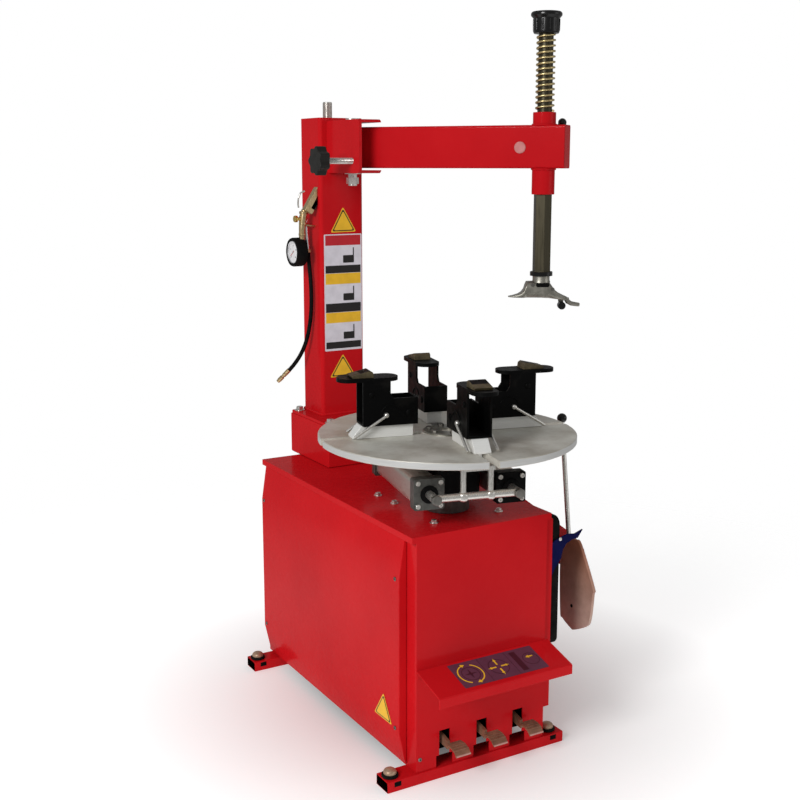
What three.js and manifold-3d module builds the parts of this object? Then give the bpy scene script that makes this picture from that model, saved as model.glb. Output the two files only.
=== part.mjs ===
// Swing-arm tyre changer: sheet-steel cabinet on two feet, rear column, swing arm with a
// spring-lifted mounting shaft, self-centring turntable, foot pedals, side bead breaker and
// an air line gun hung on the column. Millimetres, +Z up, front of the cabinet facing -Y.
import * as THREE from 'three';
import { mergeVertices } from 'three/addons/utils/BufferGeometryUtils.js';
import Module from 'manifold-3d';

const wasm = await Module();
wasm.setup();

// ---------------------------------------------------------------- driving dimensions
const GAP = 0.3; // clearance between touching pieces
const CABINET = { halfWidth: 183, halfDepth: 415, top: 600, bottom: 27.3, wall: 3, lid: 15 };
const LID_HALF_WIDTH = 195;
const COVER = { outer: 205, front: -408, leftFront: -374, rear: 400, bottom: 32, rightBottom: 100, top: 583 };
const FOOT = { left: -262, right: 243, width: 54, height: 27, wall: 3 };
const FOOT_Y = [-393, 372]; // centre lines of the front and rear feet
const PEDAL_SLOTS = [-105, 0, 105];
const SLOT = { width: 30, top: 118, wideWidth: 46, wideTop: 56 };
const COLUMN = { x: 31, y: 407.5, width: 134, depth: 121, foot: 722.6, top: 1548, wall: 6 };
const COLUMN_BOX = { x0: -79, x1: 141, y0: 229, y1: 469, top: 714 };
const ARM = { pivotX: 24.5, pivotY: 271, swing: 38, width: 60, bottom: 1413, top: 1520.5 };
const ARM_REACH = 530; // pivot to mounting shaft
const ARM_END = 590;
const BRACKET = { x0: -14, x1: 52, y0: 160, bottom: 1400, top: 1539, plate: 8 };
const HEX = 41; // shaft across flats
const SLEEVE = { radius: 29, bottom: 1348, top: 1552 };
const SPRING = { outer: 24.5, inner: 20.6, top: 1742.7 };
const TABLE = { x: 0, y: -250.5, radius: 310, top: 791.6, thickness: 17, turn: -13 };
const JAW_ANGLES = [167, 77, -13, -103]; // left, rear, right and front slots
const JAW = { inner: 83, outer: 217, tallInner: 150, halfWidth: 30, bottom: 822, low: 886, top: 928 };
const CLAMP = { offset: 100, z: 687, rear: -180, front: 165, half: 37 };
const CROSSBAR_RADIUS = 205;
const BREAKER = { pivotX: 245, pivotY: 372, z: 505, cylinderY: 100, lugTop: 452 };
const BLADE_PIN = [356, -322]; // the blade turns a little about this upright pin
const PAD_HALF = [118, 164];
const PAD_CENTRE = [-285, 418]; // in Y and Z on the right cover
const PAD_THICKNESS = 26;

// ---------------------------------------------------------------- materials
const paint = (color, roughness, metalness) =>
  new THREE.MeshStandardMaterial({ color, roughness, metalness });
const RED = paint(0xc8141e, 0.3, 0.1);
const BLACK = paint(0x141414, 0.5, 0.1);
const STEEL = paint(0xb4b2ac, 0.35, 1);
const DARK_STEEL = paint(0x3b3829, 0.4, 0.9);
const CAST = paint(0x9a978c, 0.55, 0.9);
const ALUMINIUM = paint(0xb5aca0, 0.4, 1);
const RUBBER = paint(0x101010, 0.9, 0);
const BRASS = paint(0xb08d4f, 0.35, 1);
const BLUE = paint(0x1b2468, 0.5, 0);
const ZINC = paint(0xb89a4e, 0.35, 1);
const GREY = paint(0x6d7176, 0.6, 0.4);

// ---------------------------------------------------------------- shape helpers
const { Manifold, Mesh: SolidMesh } = wasm;

function toSolid(geometry) {
  const bare = geometry.clone();
  for (const name of Object.keys(bare.attributes)) {
    if (name !== 'position') bare.deleteAttribute(name);
  }
  const merged = mergeVertices(bare, 1e-3);
  return new Manifold(new SolidMesh({
    numProp: 3,
    vertProperties: merged.attributes.position.array,
    triVerts: new Uint32Array(merged.index.array),
  }));
}

function toGeometry(solid) {
  const mesh = solid.getMesh();
  const geometry = new THREE.BufferGeometry();
  geometry.setAttribute('position', new THREE.BufferAttribute(mesh.vertProperties, 3));
  geometry.setIndex(new THREE.BufferAttribute(mesh.triVerts, 1));
  geometry.computeVertexNormals();
  return geometry;
}

const join = (...solids) => solids.reduce((all, next) => all.add(next));
const cut = (solid, ...tools) => tools.reduce((rest, tool) => rest.subtract(tool), solid);

function box(x0, x1, y0, y1, z0, z1) {
  const geometry = new THREE.BoxGeometry(x1 - x0, y1 - y0, z1 - z0);
  return toSolid(geometry.translate((x0 + x1) / 2, (y0 + y1) / 2, (z0 + z1) / 2));
}

// A round or polygonal bar from one end to the other along a main axis.
function bar(axis, radius, from, to, at, sides = 24, endRadius = radius) {
  const geometry = new THREE.CylinderGeometry(endRadius, radius, to - from, sides);
  const middle = (from + to) / 2;
  if (axis === 'z') geometry.rotateX(Math.PI / 2).translate(at[0], at[1], middle);
  if (axis === 'x') geometry.rotateZ(-Math.PI / 2).translate(middle, at[0], at[1]);
  if (axis === 'y') geometry.translate(at[0], middle, at[1]);
  return toSolid(geometry);
}

function ball(radius, x, y, z) {
  return toSolid(new THREE.SphereGeometry(radius, 16, 10).translate(x, y, z));
}

// A straight round rod between two points.
function strut(start, end, radius, sides = 12) {
  const a = new THREE.Vector3(...start);
  const b = new THREE.Vector3(...end);
  const direction = b.clone().sub(a);
  const geometry = new THREE.CylinderGeometry(radius, radius, direction.length(), sides);
  geometry.applyQuaternion(new THREE.Quaternion().setFromUnitVectors(
    new THREE.Vector3(0, 1, 0), direction.normalize()));
  return toSolid(geometry.translate(...a.add(b).multiplyScalar(0.5).toArray()));
}

// A profile of [radius, height] points turned about a vertical axis.
function turned(profile, x = 0, y = 0, sides = 32) {
  const points = profile.map(([r, z]) => new THREE.Vector2(r, z));
  return toSolid(new THREE.LatheGeometry(points, sides).rotateX(Math.PI / 2).translate(x, y, 0));
}

function shapeOf(points) {
  return new THREE.Shape(points.map(([u, v]) => new THREE.Vector2(u, v)));
}

function roundedRect(halfWidth, halfHeight, radius) {
  const shape = new THREE.Shape();
  const w = halfWidth - radius;
  const h = halfHeight - radius;
  shape.absarc(w, h, radius, 0, Math.PI / 2);
  shape.absarc(-w, h, radius, Math.PI / 2, Math.PI);
  shape.absarc(-w, -h, radius, Math.PI, Math.PI * 1.5);
  shape.absarc(w, -h, radius, Math.PI * 1.5, Math.PI * 2);
  return shape;
}

const prism = (shape, depth, curveSegments = 4) =>
  new THREE.ExtrudeGeometry(shape, { depth, bevelEnabled: false, curveSegments });

// An outline in X and Y raised from z0 to z1.
const raised = (shape, z0, z1, curveSegments = 4) =>
  toSolid(prism(shape, z1 - z0, curveSegments).translate(0, 0, z0));

// An outline in Y and Z run along X from x0 to x1.
function alongX(shape, x0, x1, curveSegments = 4) {
  const geometry = prism(shape, x1 - x0, curveSegments);
  const turn = new THREE.Matrix4().makeBasis(
    new THREE.Vector3(0, 1, 0), new THREE.Vector3(0, 0, 1), new THREE.Vector3(1, 0, 0));
  return toSolid(geometry.applyMatrix4(turn).translate(x0, 0, 0));
}

// An outline in X and Z run along -Y from y1 down to y0.
function alongY(shape, y0, y1, curveSegments = 4) {
  const geometry = prism(shape, y1 - y0, curveSegments).rotateX(Math.PI / 2);
  return toSolid(geometry.translate(0, y1, 0));
}

const model = new THREE.Group();

function place(name, solid, material, parent = model) {
  const geometry = solid.isBufferGeometry ? solid : toGeometry(solid);
  const mesh = new THREE.Mesh(geometry, material);
  mesh.name = name;
  parent.add(mesh);
  return mesh;
}

// ---------------------------------------------------------------- cabinet and feet
function cabinetShell() {
  const { halfWidth: w, halfDepth: d, top, bottom, wall, lid } = CABINET;
  const body = join(
    box(-w, w, -d, d, bottom, top - lid + 1),
    box(-LID_HALF_WIDTH, LID_HALF_WIDTH, -d, d, top - lid, top));
  const hollow = box(-w + wall, w - wall, -d + wall, d - wall, bottom - 10, top - 5);
  const sideOpenings = box(-w - 10, w + 10, -340, 340, 125, 560);
  const slots = PEDAL_SLOTS.flatMap((x) => [
    box(x - SLOT.width / 2, x + SLOT.width / 2, -d - 5, -d + 10, bottom - 5, SLOT.top),
    box(x - SLOT.wideWidth / 2, x + SLOT.wideWidth / 2, -d - 5, -d + 10, bottom - 5, SLOT.wideTop),
  ]);
  const spindleHole = bar('z', 42, top - 20, top + 5, [TABLE.x, TABLE.y], 32);
  return cut(body, hollow, sideOpenings, ...slots, spindleHole);
}

// A side panel folded back round its edges; side is -1 on the left and 1 on the right.
function sideCover(side, front, bottom) {
  const { outer, rear, top } = COVER;
  const inner = CABINET.halfWidth + GAP;
  const span = (a, b) => (side > 0 ? [a, b] : [-b, -a]);
  const panel = box(...span(inner, outer), front, rear, bottom, top);
  const tray = box(...span(inner - 5, outer - 2), front + 2, rear - 2, bottom + 2, top - 2);
  const rodHole = bar('x', 30, 150, 250, [BREAKER.cylinderY, BREAKER.z], 24);
  return side > 0 ? cut(panel, tray, rodHole) : cut(panel, tray);
}

function footChannel(y) {
  const { left, right, width, height, wall } = FOOT;
  const front = y - width / 2;
  const rear = y + width / 2;
  const tube = box(left, right, front, rear, 0, height);
  return tube.subtract(box(left - 5, right + 5, front + wall, rear - wall, wall, height - wall));
}

function pedalHood() {
  const face = -CABINET.halfDepth - GAP;
  const profile = shapeOf([
    [face, 281], [-514, 253.5], [-516, 251], [-516, 229],
    [-513.5, 229], [-513.5, 250.6], [face - 2.5, 278.2], [face - 2.5, 262], [face, 262],
  ]);
  return alongX(profile, -183, 190);
}

place('cabinet_shell', cabinetShell(), RED);
place('left_cover', sideCover(-1, COVER.leftFront, COVER.bottom), RED);
place('right_cover', sideCover(1, COVER.front, COVER.rightBottom), RED);
place('front_foot', footChannel(FOOT_Y[0]), RED);
place('rear_foot', footChannel(FOOT_Y[1]), RED);
place('pedal_hood', pedalHood(), RED);
place('wheel_pad', raised(roundedRect(...PAD_HALF, 20), 0, PAD_THICKNESS), RUBBER)
  .applyMatrix4(new THREE.Matrix4().makeBasis(
    new THREE.Vector3(0, 1, 0), new THREE.Vector3(0, 0, 1), new THREE.Vector3(1, 0, 0))
    .setPosition(COVER.outer + GAP, ...PAD_CENTRE));

// ---------------------------------------------------------------- column and arm bracket
function columnBox() {
  const { x0, x1, y0, y1, top } = COLUMN_BOX;
  const low = CABINET.top + GAP;
  return cut(box(x0, x1, y0, y1, low, top), box(x0 + 5, x1 - 5, y0 + 5, y1 - 5, low - 5, top - 6));
}

function columnTube() {
  const { x, y, width, depth, foot, top, wall } = COLUMN;
  const outside = raised(roundedRect(width / 2, depth / 2, 10), foot, top);
  const inside = raised(roundedRect(width / 2 - wall, depth / 2 - wall, 5), foot - 5, top - wall);
  const hook = join(
    bar('x', 3, -3, 6, [-29, 1318], 10),
    bar('z', 3, 1315, 1334, [0, -29], 10)).translate([-width / 2 - 4.2, 0, 0]);
  return join(outside.subtract(inside), hook).translate([x, y, 0]);
}

function armBracket() {
  const { x0, x1, y0, bottom, top, plate } = BRACKET;
  const rear = COLUMN.y - COLUMN.depth / 2 - GAP;
  const middleY = (y0 + rear) / 2;
  const middleZ = (bottom + top) / 2;
  const side = alongX(roundedRect((rear - y0) / 2, (top - bottom) / 2, 12), x0, x1)
    .translate([0, middleY, middleZ]);
  const throat = box(x0 + plate, x1 + 5, y0 - 5, rear + 5, bottom + plate, top - plate);
  const pinHole = bar('z', 12.3, bottom - 5, top + 5, [ARM.pivotX, ARM.pivotY]);
  const screwHole = bar('x', 8.4, x0 - 5, x0 + plate + 5, [200, 1432]);
  return cut(side, throat, pinHole, screwHole);
}

function pivotBolt() {
  const at = [ARM.pivotX, ARM.pivotY];
  return join(
    bar('z', 12, 1366, BRACKET.top + GAP + 1, at),
    bar('z', 18, BRACKET.top + GAP, BRACKET.top + 5.3, at, 24));
}

place('column_box', columnBox(), RED);
place('column_base_plate', raised(roundedRect(108, 118, 6), COLUMN_BOX.top + GAP, 722.3)
  .translate([31, 349, 0]), RED);
place('column', columnTube(), RED);
place('top_stud', bar('z', 13.5, COLUMN.top + GAP, 1593, [25, 418]), STEEL);
place('arm_bracket', armBracket(), RED);
place('pivot_bolt', pivotBolt(), STEEL);
place('pivot_nut', cut(
  bar('z', 17, 1371, 1388, [ARM.pivotX, ARM.pivotY], 6),
  bar('z', 12 + GAP, 1360, 1400, [ARM.pivotX, ARM.pivotY])), STEEL);

// ---------------------------------------------------------------- drive inside the cabinet
const SHAFT_Z = 500; // worm shaft of the gearbox
const MOTOR_AT = [-30, 262];
const BELT_Y = -130;
const PULLEY = { gearbox: 80, motor: 32, width: 18 };

function gearbox() {
  const housing = join(
    box(-75, 75, -330, -170, 455, 594.7),
    bar('y', 38, -345, -160, [0, SHAFT_Z], 24));
  const spindleBore = bar('z', 30.4, 520, 600, [TABLE.x, TABLE.y], 32);
  return cut(housing, spindleBore, bar('y', 10.4, -175, -155, [0, SHAFT_Z], 16));
}

function motor() {
  return cut(
    join(
      bar('y', 70, -370, -165, MOTOR_AT, 32),
      box(MOTOR_AT[0] - 55, MOTOR_AT[0] + 55, -340, -200, MOTOR_AT[1] - 90, MOTOR_AT[1] - 40),
      box(MOTOR_AT[0] - 45, MOTOR_AT[0] + 45, -320, -220, MOTOR_AT[1] + 40, MOTOR_AT[1] + 95)),
    bar('y', 8.4, -180, -160, MOTOR_AT, 16));
}

// A grooved pulley with its shaft reaching back towards -Y.
function pulley(radius, shaftRadius, shaftEnd, [x, z]) {
  const half = PULLEY.width / 2;
  return join(
    bar('y', radius, BELT_Y - half, BELT_Y - 4, [x, z], 32),
    bar('y', radius - 9, BELT_Y - 5, BELT_Y + 5, [x, z], 32),
    bar('y', radius, BELT_Y + 4, BELT_Y + half, [x, z], 32),
    bar('y', shaftRadius, shaftEnd, BELT_Y, [x, z], 16));
}

// The belt is the outline round both pulleys, less the same outline set in by its thickness.
function beltOutline(inset) {
  const upper = new THREE.Vector2(0, SHAFT_Z);
  const lower = new THREE.Vector2(...MOTOR_AT);
  const big = PULLEY.gearbox - inset;
  const small = PULLEY.motor - inset;
  const line = Math.atan2(lower.y - upper.y, lower.x - upper.x);
  const lean = Math.acos((big - small) / upper.distanceTo(lower));
  const shape = new THREE.Shape();
  shape.absarc(upper.x, upper.y, big, line + lean, line - lean + Math.PI * 2, false);
  shape.absarc(lower.x, lower.y, small, line - lean, line + lean, false);
  return shape;
}

function driveBelt() {
  const outer = alongY(beltOutline(2), BELT_Y - 3.6, BELT_Y + 3.6, 16);
  const inner = alongY(beltOutline(8.6), BELT_Y - 6, BELT_Y + 6, 16);
  return outer.subtract(inner);
}

place('gearbox', gearbox(), CAST);
place('motor', motor(), GREY);
place('gearbox_pulley', pulley(PULLEY.gearbox, 10, -174, [0, SHAFT_Z]), CAST);
place('motor_pulley', pulley(PULLEY.motor, 8, -179, MOTOR_AT), CAST);
place('drive_belt', driveBelt(), RUBBER);

// ---------------------------------------------------------------- pedals and valves
const PEDAL_PIVOT = { y: -320, z: 92, radius: 8 };

function pedal(x) {
  const lever = shapeOf([
    [-320, 105], [-380, 108], [-432, 96], [-434, 76], [-400, 80], [-360, 80], [-320, 79],
    [-262, 84], [-262, 98],
  ]);
  const boss = bar('x', 14, x - 9, x + 9, [PEDAL_PIVOT.y, PEDAL_PIVOT.z], 20);
  const tread = shapeOf([
    [-428, 88], [-448, 89], [-464, 84], [-474, 73], [-471, 71], [-462, 80], [-448, 84.5], [-428, 83.5],
  ]);
  const bore = bar('x', PEDAL_PIVOT.radius + GAP, x - 20, x + 20, [PEDAL_PIVOT.y, PEDAL_PIVOT.z], 20);
  return cut(join(alongX(lever, x - 4, x + 4), boss, alongX(tread, x - 4, x + 36)), bore);
}

place('pedal_shaft', bar('x', PEDAL_PIVOT.radius, -179.7, 179.7, [PEDAL_PIVOT.y, PEDAL_PIVOT.z], 20), STEEL);
place('valve_block', join(
  box(-150, 150, -285, -245, 126, 166),
  ...PEDAL_SLOTS.map((x) => bar('z', 9, 119, 127, [x, -268], 16))), ALUMINIUM);
['rotation_pedal', 'clamp_pedal', 'breaker_pedal'].forEach((name, index) => {
  place(name, pedal(PEDAL_SLOTS[index]), STEEL);
});

// ---------------------------------------------------------------- turntable
function turntableDisc() {
  const low = TABLE.top - TABLE.thickness;
  const disc = turned([
    [0, low], [TABLE.radius - 1.5, low], [TABLE.radius, low + 1.5],
    [TABLE.radius, TABLE.top - 1.5], [TABLE.radius - 1.5, TABLE.top], [0, TABLE.top],
  ], 0, 0, 72);
  const slots = [0, 90, 180, 270].map((angle) =>
    box(62, TABLE.radius + 5, -11, 11, low - 5, TABLE.top + 5).rotate([0, 0, angle]));
  return cut(disc, ...slots);
}

function spindle() {
  return turned([
    [0, 530], [30, 530], [30, 640], [52, 655], [52, TABLE.top - TABLE.thickness - GAP],
    [0, TABLE.top - TABLE.thickness - GAP],
  ]);
}

const table = new THREE.Group();
table.position.set(TABLE.x, TABLE.y, 0);
model.add(table);
place('turntable_disc', turntableDisc().rotate([0, 0, TABLE.turn]), CAST, table);
place('turntable_spindle', spindle(), CAST, table);
place('air_coupling', turned([
  [31, 601], [56, 601], [56, 632], [31, 632], [31, 601],
], TABLE.x, TABLE.y), ALUMINIUM);

// The bright slide that runs in a slot, with its key under the disc.
function jawSlide() {
  return join(
    box(92, 240, -20, 20, TABLE.top + GAP, JAW.bottom - GAP),
    box(100, 210, -10, 10, 762, TABLE.top + GAP + 1),
    box(100, 210, -20, 20, 756, TABLE.top - TABLE.thickness - GAP))
    .subtract(alongY(shapeOf([[215, JAW.bottom + 5], [248, JAW.bottom + 5], [248, 787]]), -30, 30));
}

// A black carrier of two side plates with a low inner end and a tall outer end under a grip plate.
function jaw() {
  const { inner, outer, tallInner, halfWidth: w, bottom, low, top } = JAW;
  const sides = alongY(shapeOf([
    [inner, bottom], [outer, bottom], [outer, top], [tallInner, top], [tallInner, low + 12],
    [tallInner - 8, low], [inner, low],
  ]), -w, w);
  const between = box(inner + 5, outer + 5, -w + 5, w - 5, bottom + 5, top + 5);
  const gripPlate = raised(roundedRect(73, 31, 28), top - 1, top + 8, 6).translate([199, 0, 0]);
  const hook = alongY(shapeOf([
    [190, top + 6], [236, top + 6], [240, top + 14], [196, top + 24], [192, top + 20],
  ]), -20, 20);
  return join(sides.subtract(between), gripPlate, hook);
}

const jawNames = ['left', 'rear', 'right', 'front'];
const jawFrames = JAW_ANGLES.map((angle) => {
  const frame = new THREE.Group();
  frame.rotation.z = THREE.MathUtils.degToRad(angle);
  table.add(frame);
  return frame;
});
jawFrames.forEach((frame, index) => {
  place(`${jawNames[index]}_jaw_slide`, jawSlide(), STEEL, frame);
  place(`${jawNames[index]}_jaw`, jaw(), BLACK, frame);
});

// Two air cylinders lie along the rear slot; their rods carry a crossbar hung from the front jaw.
function clampBarrel(side) {
  const { offset, z, rear, front, half } = CLAMP;
  const y = side * offset;
  const tube = join(
    bar('x', 32, -front + 10, -rear - 10, [y, z], 24),
    box(-front, -front + 28, y - half, y + half, z - half, z + half),
    box(-rear - 24, -rear, y - half, y + half, z - half, z + half));
  const reach = (near, far) => [side * near, side * far].sort((a, b) => a - b);
  const tie = join(
    box(95, 125, ...reach(12, offset), z + 28, z + 44),
    box(95, 125, ...reach(12, 30), z + 28, 755.7));
  return join(tube, tie).subtract(bar('x', 10.5, -front - 5, 120, [y, z], 20));
}

function clampCrossbar() {
  const { offset, z } = CLAMP;
  const rods = [-1, 1].map((side) =>
    bar('x', 10, -40, CROSSBAR_RADIUS + 6, [side * offset, z], 20));
  const cross = bar('y', 9, -offset - 6, offset + 6, [CROSSBAR_RADIUS, z], 20);
  const posts = [-33, 33].map((y) => bar('z', 7, z, 748, [CROSSBAR_RADIUS, y], 16));
  const yoke = box(178, CROSSBAR_RADIUS + 8, -41, 41, 746, 755.7);
  return join(...rods, cross, ...posts, yoke);
}

place('left_clamp_cylinder', clampBarrel(1), ALUMINIUM, jawFrames[1]);
place('right_clamp_cylinder', clampBarrel(-1), ALUMINIUM, jawFrames[1]);
place('clamp_crossbar', clampCrossbar(), STEEL, jawFrames[3]);

// ---------------------------------------------------------------- swing arm and mounting shaft
const arm = new THREE.Group(); // +X runs out along the arm from its pivot
arm.position.set(ARM.pivotX, ARM.pivotY, 0);
arm.rotation.z = THREE.MathUtils.degToRad(ARM.swing - 90);
model.add(arm);

function armTube() {
  const { width, bottom, top } = ARM;
  const half = width / 2;
  const middle = (bottom + top) / 2;
  const section = (inset, x0, x1) =>
    alongX(roundedRect(half - inset, (top - bottom) / 2 - inset, 6 - inset), x0, x1)
      .translate([0, 0, middle]);
  const outside = join(section(0, 0, ARM_END), bar('z', half, bottom, top, [0, 0], 32));
  const bores = [
    bar('z', 12 + GAP, bottom - 5, top + 5, [0, 0]),
    bar('z', SLEEVE.radius - 4 + GAP, bottom - 5, top + 5, [ARM_REACH, 0], 32),
  ];
  return cut(outside, section(5, 40, ARM_END - 6), ...bores);
}

function armSleeve() {
  const { radius, bottom, top } = SLEEVE;
  const collar = 4; // how much wider the sleeve is outside the arm than through it
  const at = [ARM_REACH, 0];
  const outside = join(
    bar('z', radius, bottom, ARM.bottom - GAP, at, 32),
    bar('z', radius - collar, bottom + 5, top - 5, at, 32),
    bar('z', radius, ARM.top + GAP, top, at, 32));
  return outside.subtract(hexBar((HEX + 0.8) / 2, bottom - 5, top + 5));
}

// A hexagonal bar on the shaft's axis, flats across the arm.
function hexBar(apothem, z0, z1) {
  return bar('z', apothem / Math.cos(Math.PI / 6), z0, z1, [0, 0], 6)
    .rotate([0, 0, 30]).translate([ARM_REACH, 0, 0]);
}

function hexShaft() {
  const at = [ARM_REACH, 0];
  return join(
    hexBar(HEX / 2, 1141.3, 1549),
    bar('z', 18.5, 1548, 1768, at, 24),
    bar('z', 27, 1141.3, 1152, at, 24));
}

function shaftCap() {
  return turned([
    [19, SPRING.top + GAP], [31, SPRING.top + GAP], [33, 1748], [33, 1779], [39, 1786], [39, 1791],
    [36, 1795], [0, 1795], [0, 1769], [19, 1769], [19, SPRING.top + GAP],
  ], ARM_REACH, 0);
}

// A duck-bill mounting head; its long axis lies across the arm.
function mountHead() {
  const profile = shapeOf([
    [-84, 1088], [-58, 1093], [-44, 1103], [-38, 1119], [20, 1119], [27, 1104], [46, 1092],
    [70, 1083], [72, 1078], [40, 1081], [0, 1085], [-40, 1086], [-84, 1086],
  ]);
  const bill = toSolid(prism(profile, 44).rotateX(Math.PI / 2).translate(0, 22, 0));
  const neck = bar('z', 21, 1118, 1141, [0, 0], 24);
  const finger = strut([69, 0, 1082], [100, 0, 1069], 5.5);
  const ears = join(box(46, 64, -15, -11, 1060, 1084), box(46, 64, 11, 15, 1060, 1084));
  return join(bill, neck, finger, ears);
}

place('swing_arm', armTube(), RED, arm);
place('arm_sleeve', armSleeve(), RED, arm);
place('hex_shaft', hexShaft(), DARK_STEEL, arm);
place('shaft_cap', shaftCap(), BLACK, arm);
place('shaft_spring', turned([
  [SPRING.inner, SLEEVE.top + GAP], [SPRING.outer, SLEEVE.top + GAP], [SPRING.outer, SPRING.top],
  [SPRING.inner, SPRING.top], [SPRING.inner, SLEEVE.top + GAP],
], ARM_REACH, 0, 28), ZINC, arm);

const head = new THREE.Group(); // the bill points across the arm, turned with the shaft
head.position.set(ARM_REACH, 0, 0);
head.rotation.z = THREE.MathUtils.degToRad(90 - ARM.swing - 30);
arm.add(head);
place('mount_head', mountHead(), CAST, head);
place('head_roller', bar('y', 10, -10.5, 10.5, [54, 1064], 20), RUBBER, head);

// The lever on the far side of the arm that locks the shaft.
place('lock_lever', join(
  bar('y', 15, ARM.width / 2 + GAP, ARM.width / 2 + 18, [490, 1465], 24),
  strut([490, ARM.width / 2 + 12, 1465], [560, ARM.width / 2 + 22, 1525], 5),
  ball(11, 563, ARM.width / 2 + 22, 1528)), BLACK, arm);

// The screw and lobed knob that set how far the arm swings in.
const SCREW_AT = [200, 1432];
function lobedKnob() {
  const outline = new THREE.Shape();
  const steps = 56;
  for (let i = 0; i < steps; i += 1) {
    const angle = (i / steps) * Math.PI * 2;
    const radius = 34.5 + 3.8 * Math.cos(7 * angle);
    const point = [radius * Math.cos(angle), radius * Math.sin(angle)];
    if (i === 0) outline.moveTo(...point);
    else outline.lineTo(...point);
  }
  const grip = alongX(outline, -124, -96).translate([0, ...SCREW_AT]);
  return join(grip, bar('x', 17, -97, -88, SCREW_AT)).subtract(bar('x', 8 + GAP, -112, -80, SCREW_AT));
}
place('stop_screw', bar('x', 8, -111, -6.5, SCREW_AT), STEEL);
place('stop_knob', lobedKnob(), BLACK);

// ---------------------------------------------------------------- bead breaker
place('breaker_cylinder', cut(
  join(
    bar('x', 82, -140, 110, [BREAKER.cylinderY, BREAKER.z], 40),
    bar('x', 24, 109, 150, [BREAKER.cylinderY, BREAKER.z], 24)),
  bar('x', 12.5, -120, 155, [BREAKER.cylinderY, BREAKER.z], 20)), GREY);
place('breaker_rod', bar('x', 12, -50, 288, [BREAKER.cylinderY, BREAKER.z], 20), STEEL);
place('breaker_hinge', join(
  box(COVER.outer + GAP, 262, 350, 394, 470, 479.7),
  box(COVER.outer + GAP, 262, 350, 394, 530.3, 540),
  box(COVER.outer + GAP, 214, 350, 394, 470, 540),
  bar('z', 9, 470, 540, [BREAKER.pivotX, BREAKER.pivotY], 20)), RED);

// The breaker arm is a square tube bent along three straight runs. The last run drops to a low lug.
function breakerArm() {
  const { pivotX, pivotY, z, lugTop } = BREAKER;
  const halfHeight = 25;
  const halfWidth = 20;
  const centre = [[pivotX, pivotY, z], [322, 120, z], [352, -20, z], [352, -262, 457]];
  const runs = centre.slice(1).map((end, index) => {
    const start = centre[index];
    const reach = Math.hypot(end[0] - start[0], end[1] - start[1]);
    const drop = start[2] - end[2];
    const turn = THREE.MathUtils.radToDeg(Math.atan2(end[1] - start[1], end[0] - start[0]));
    const tilt = THREE.MathUtils.radToDeg(Math.atan2(drop, reach));
    const last = index === centre.length - 2;
    return box(0, Math.hypot(reach, drop) + (last ? 0 : 7), -halfWidth, halfWidth, -halfHeight, halfHeight)
      .rotate([0, tilt, turn]).translate(start);
  });
  const boss = bar('z', halfWidth, z - halfHeight, z + halfHeight, [pivotX, pivotY], 24);
  const bladeLug = join(
    box(342, 370, BLADE_PIN[1], -240, 400, lugTop),
    bar('z', 14, 400, lugTop, BLADE_PIN, 24));
  const pin = bar('z', 9.4, z - 40, z + 40, [pivotX, pivotY], 20);
  const bladeBore = bar('z', 8.3, 395, lugTop - 6, BLADE_PIN, 16);
  return cut(join(...runs, boss, bladeLug), pin, bladeBore);
}

function breakerBlade() {
  const outline = shapeOf([
    [-339, 489], [-360, 480], [-414, 384], [-414, 366], [-406, 299], [-392, 275], [-345, 250],
    [-330, 250], [-297, 265], [-286, 282], [-281, 418], [-300, 462], [-325, 487],
  ]);
  return join(alongX(outline, 329.7, 337.7),
    box(337, 372, -342, -302, 384, 399.7),
    bar('z', 8, 390, BREAKER.lugTop - 10, BLADE_PIN, 16));
}

// The pull rod leans out and back, so that it passes outside the turntable when the arm closes.
function breakerGrip() {
  const foot = BREAKER.lugTop + GAP;
  return join(
    strut([352, -289, foot + 5], [400, -185, 765], 6, 12),
    ball(12, 400, -185, 767),
    bar('z', 9, foot, foot + 12, [352, -289], 16));
}

// A curved guard before the pad's front edge; its low tail stays clear of the closing blade.
function bladeGuard() {
  const wall = COVER.outer + GAP;
  const padFace = wall + PAD_THICKNESS + GAP;
  const padFront = PAD_CENTRE[0] - PAD_HALF[0] - GAP;
  const outline = shapeOf([
    [wall, 436], [wall, 521], [225, 529], [251, 536], [274, 533], [298, 541], [283, 521], [266, 520],
    [249, 513], [238, 499], [233, 478], [213, 452],
  ]);
  return join(
    alongY(outline, padFront - 5, padFront),
    box(padFace - 3, padFace + 3, padFront - 5, padFront, 500, 520),
    box(padFace, padFace + 3, padFront - 5, padFront + 30, 500, 520));
}

place('breaker_arm', breakerArm(), RED);
place('breaker_blade', breakerBlade(), STEEL);
place('breaker_grip', breakerGrip(), STEEL);
place('blade_guard', bladeGuard(), BLUE);

// ---------------------------------------------------------------- air line gun on the column
function inflatorGun() {
  return join(
    strut([-56, 356, 1357], [-60, 392, 1300], 11, 16),
    strut([-60, 390, 1304], [-53, 392, 1182], 8.5, 16),
    bar('x', 5, -92, -60, [397, 1272], 12),
    ball(9, -92, 397, 1272));
}

function pressureGauge() {
  return bar('x', 40, -100, -64.5, [400, 1183], 32);
}

// Centre line of the whip hose, from the gun down and away to the tyre chuck.
const HOSE_ROUTE = [
  [-53, 391.8, 1181.4], [-52, 391, 1160], [-50.5, 389, 1135], [-49.5, 386, 1105], [-49, 384, 1072],
  [-49, 384, 1040], [-49.5, 387, 1008], [-51.5, 392, 976], [-55, 399, 945], [-60, 409, 916],
  [-67, 421, 890], [-76, 433, 868], [-87, 444, 849], [-99, 454, 833],
];
const HOSE_RADIUS = 5.7;

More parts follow.
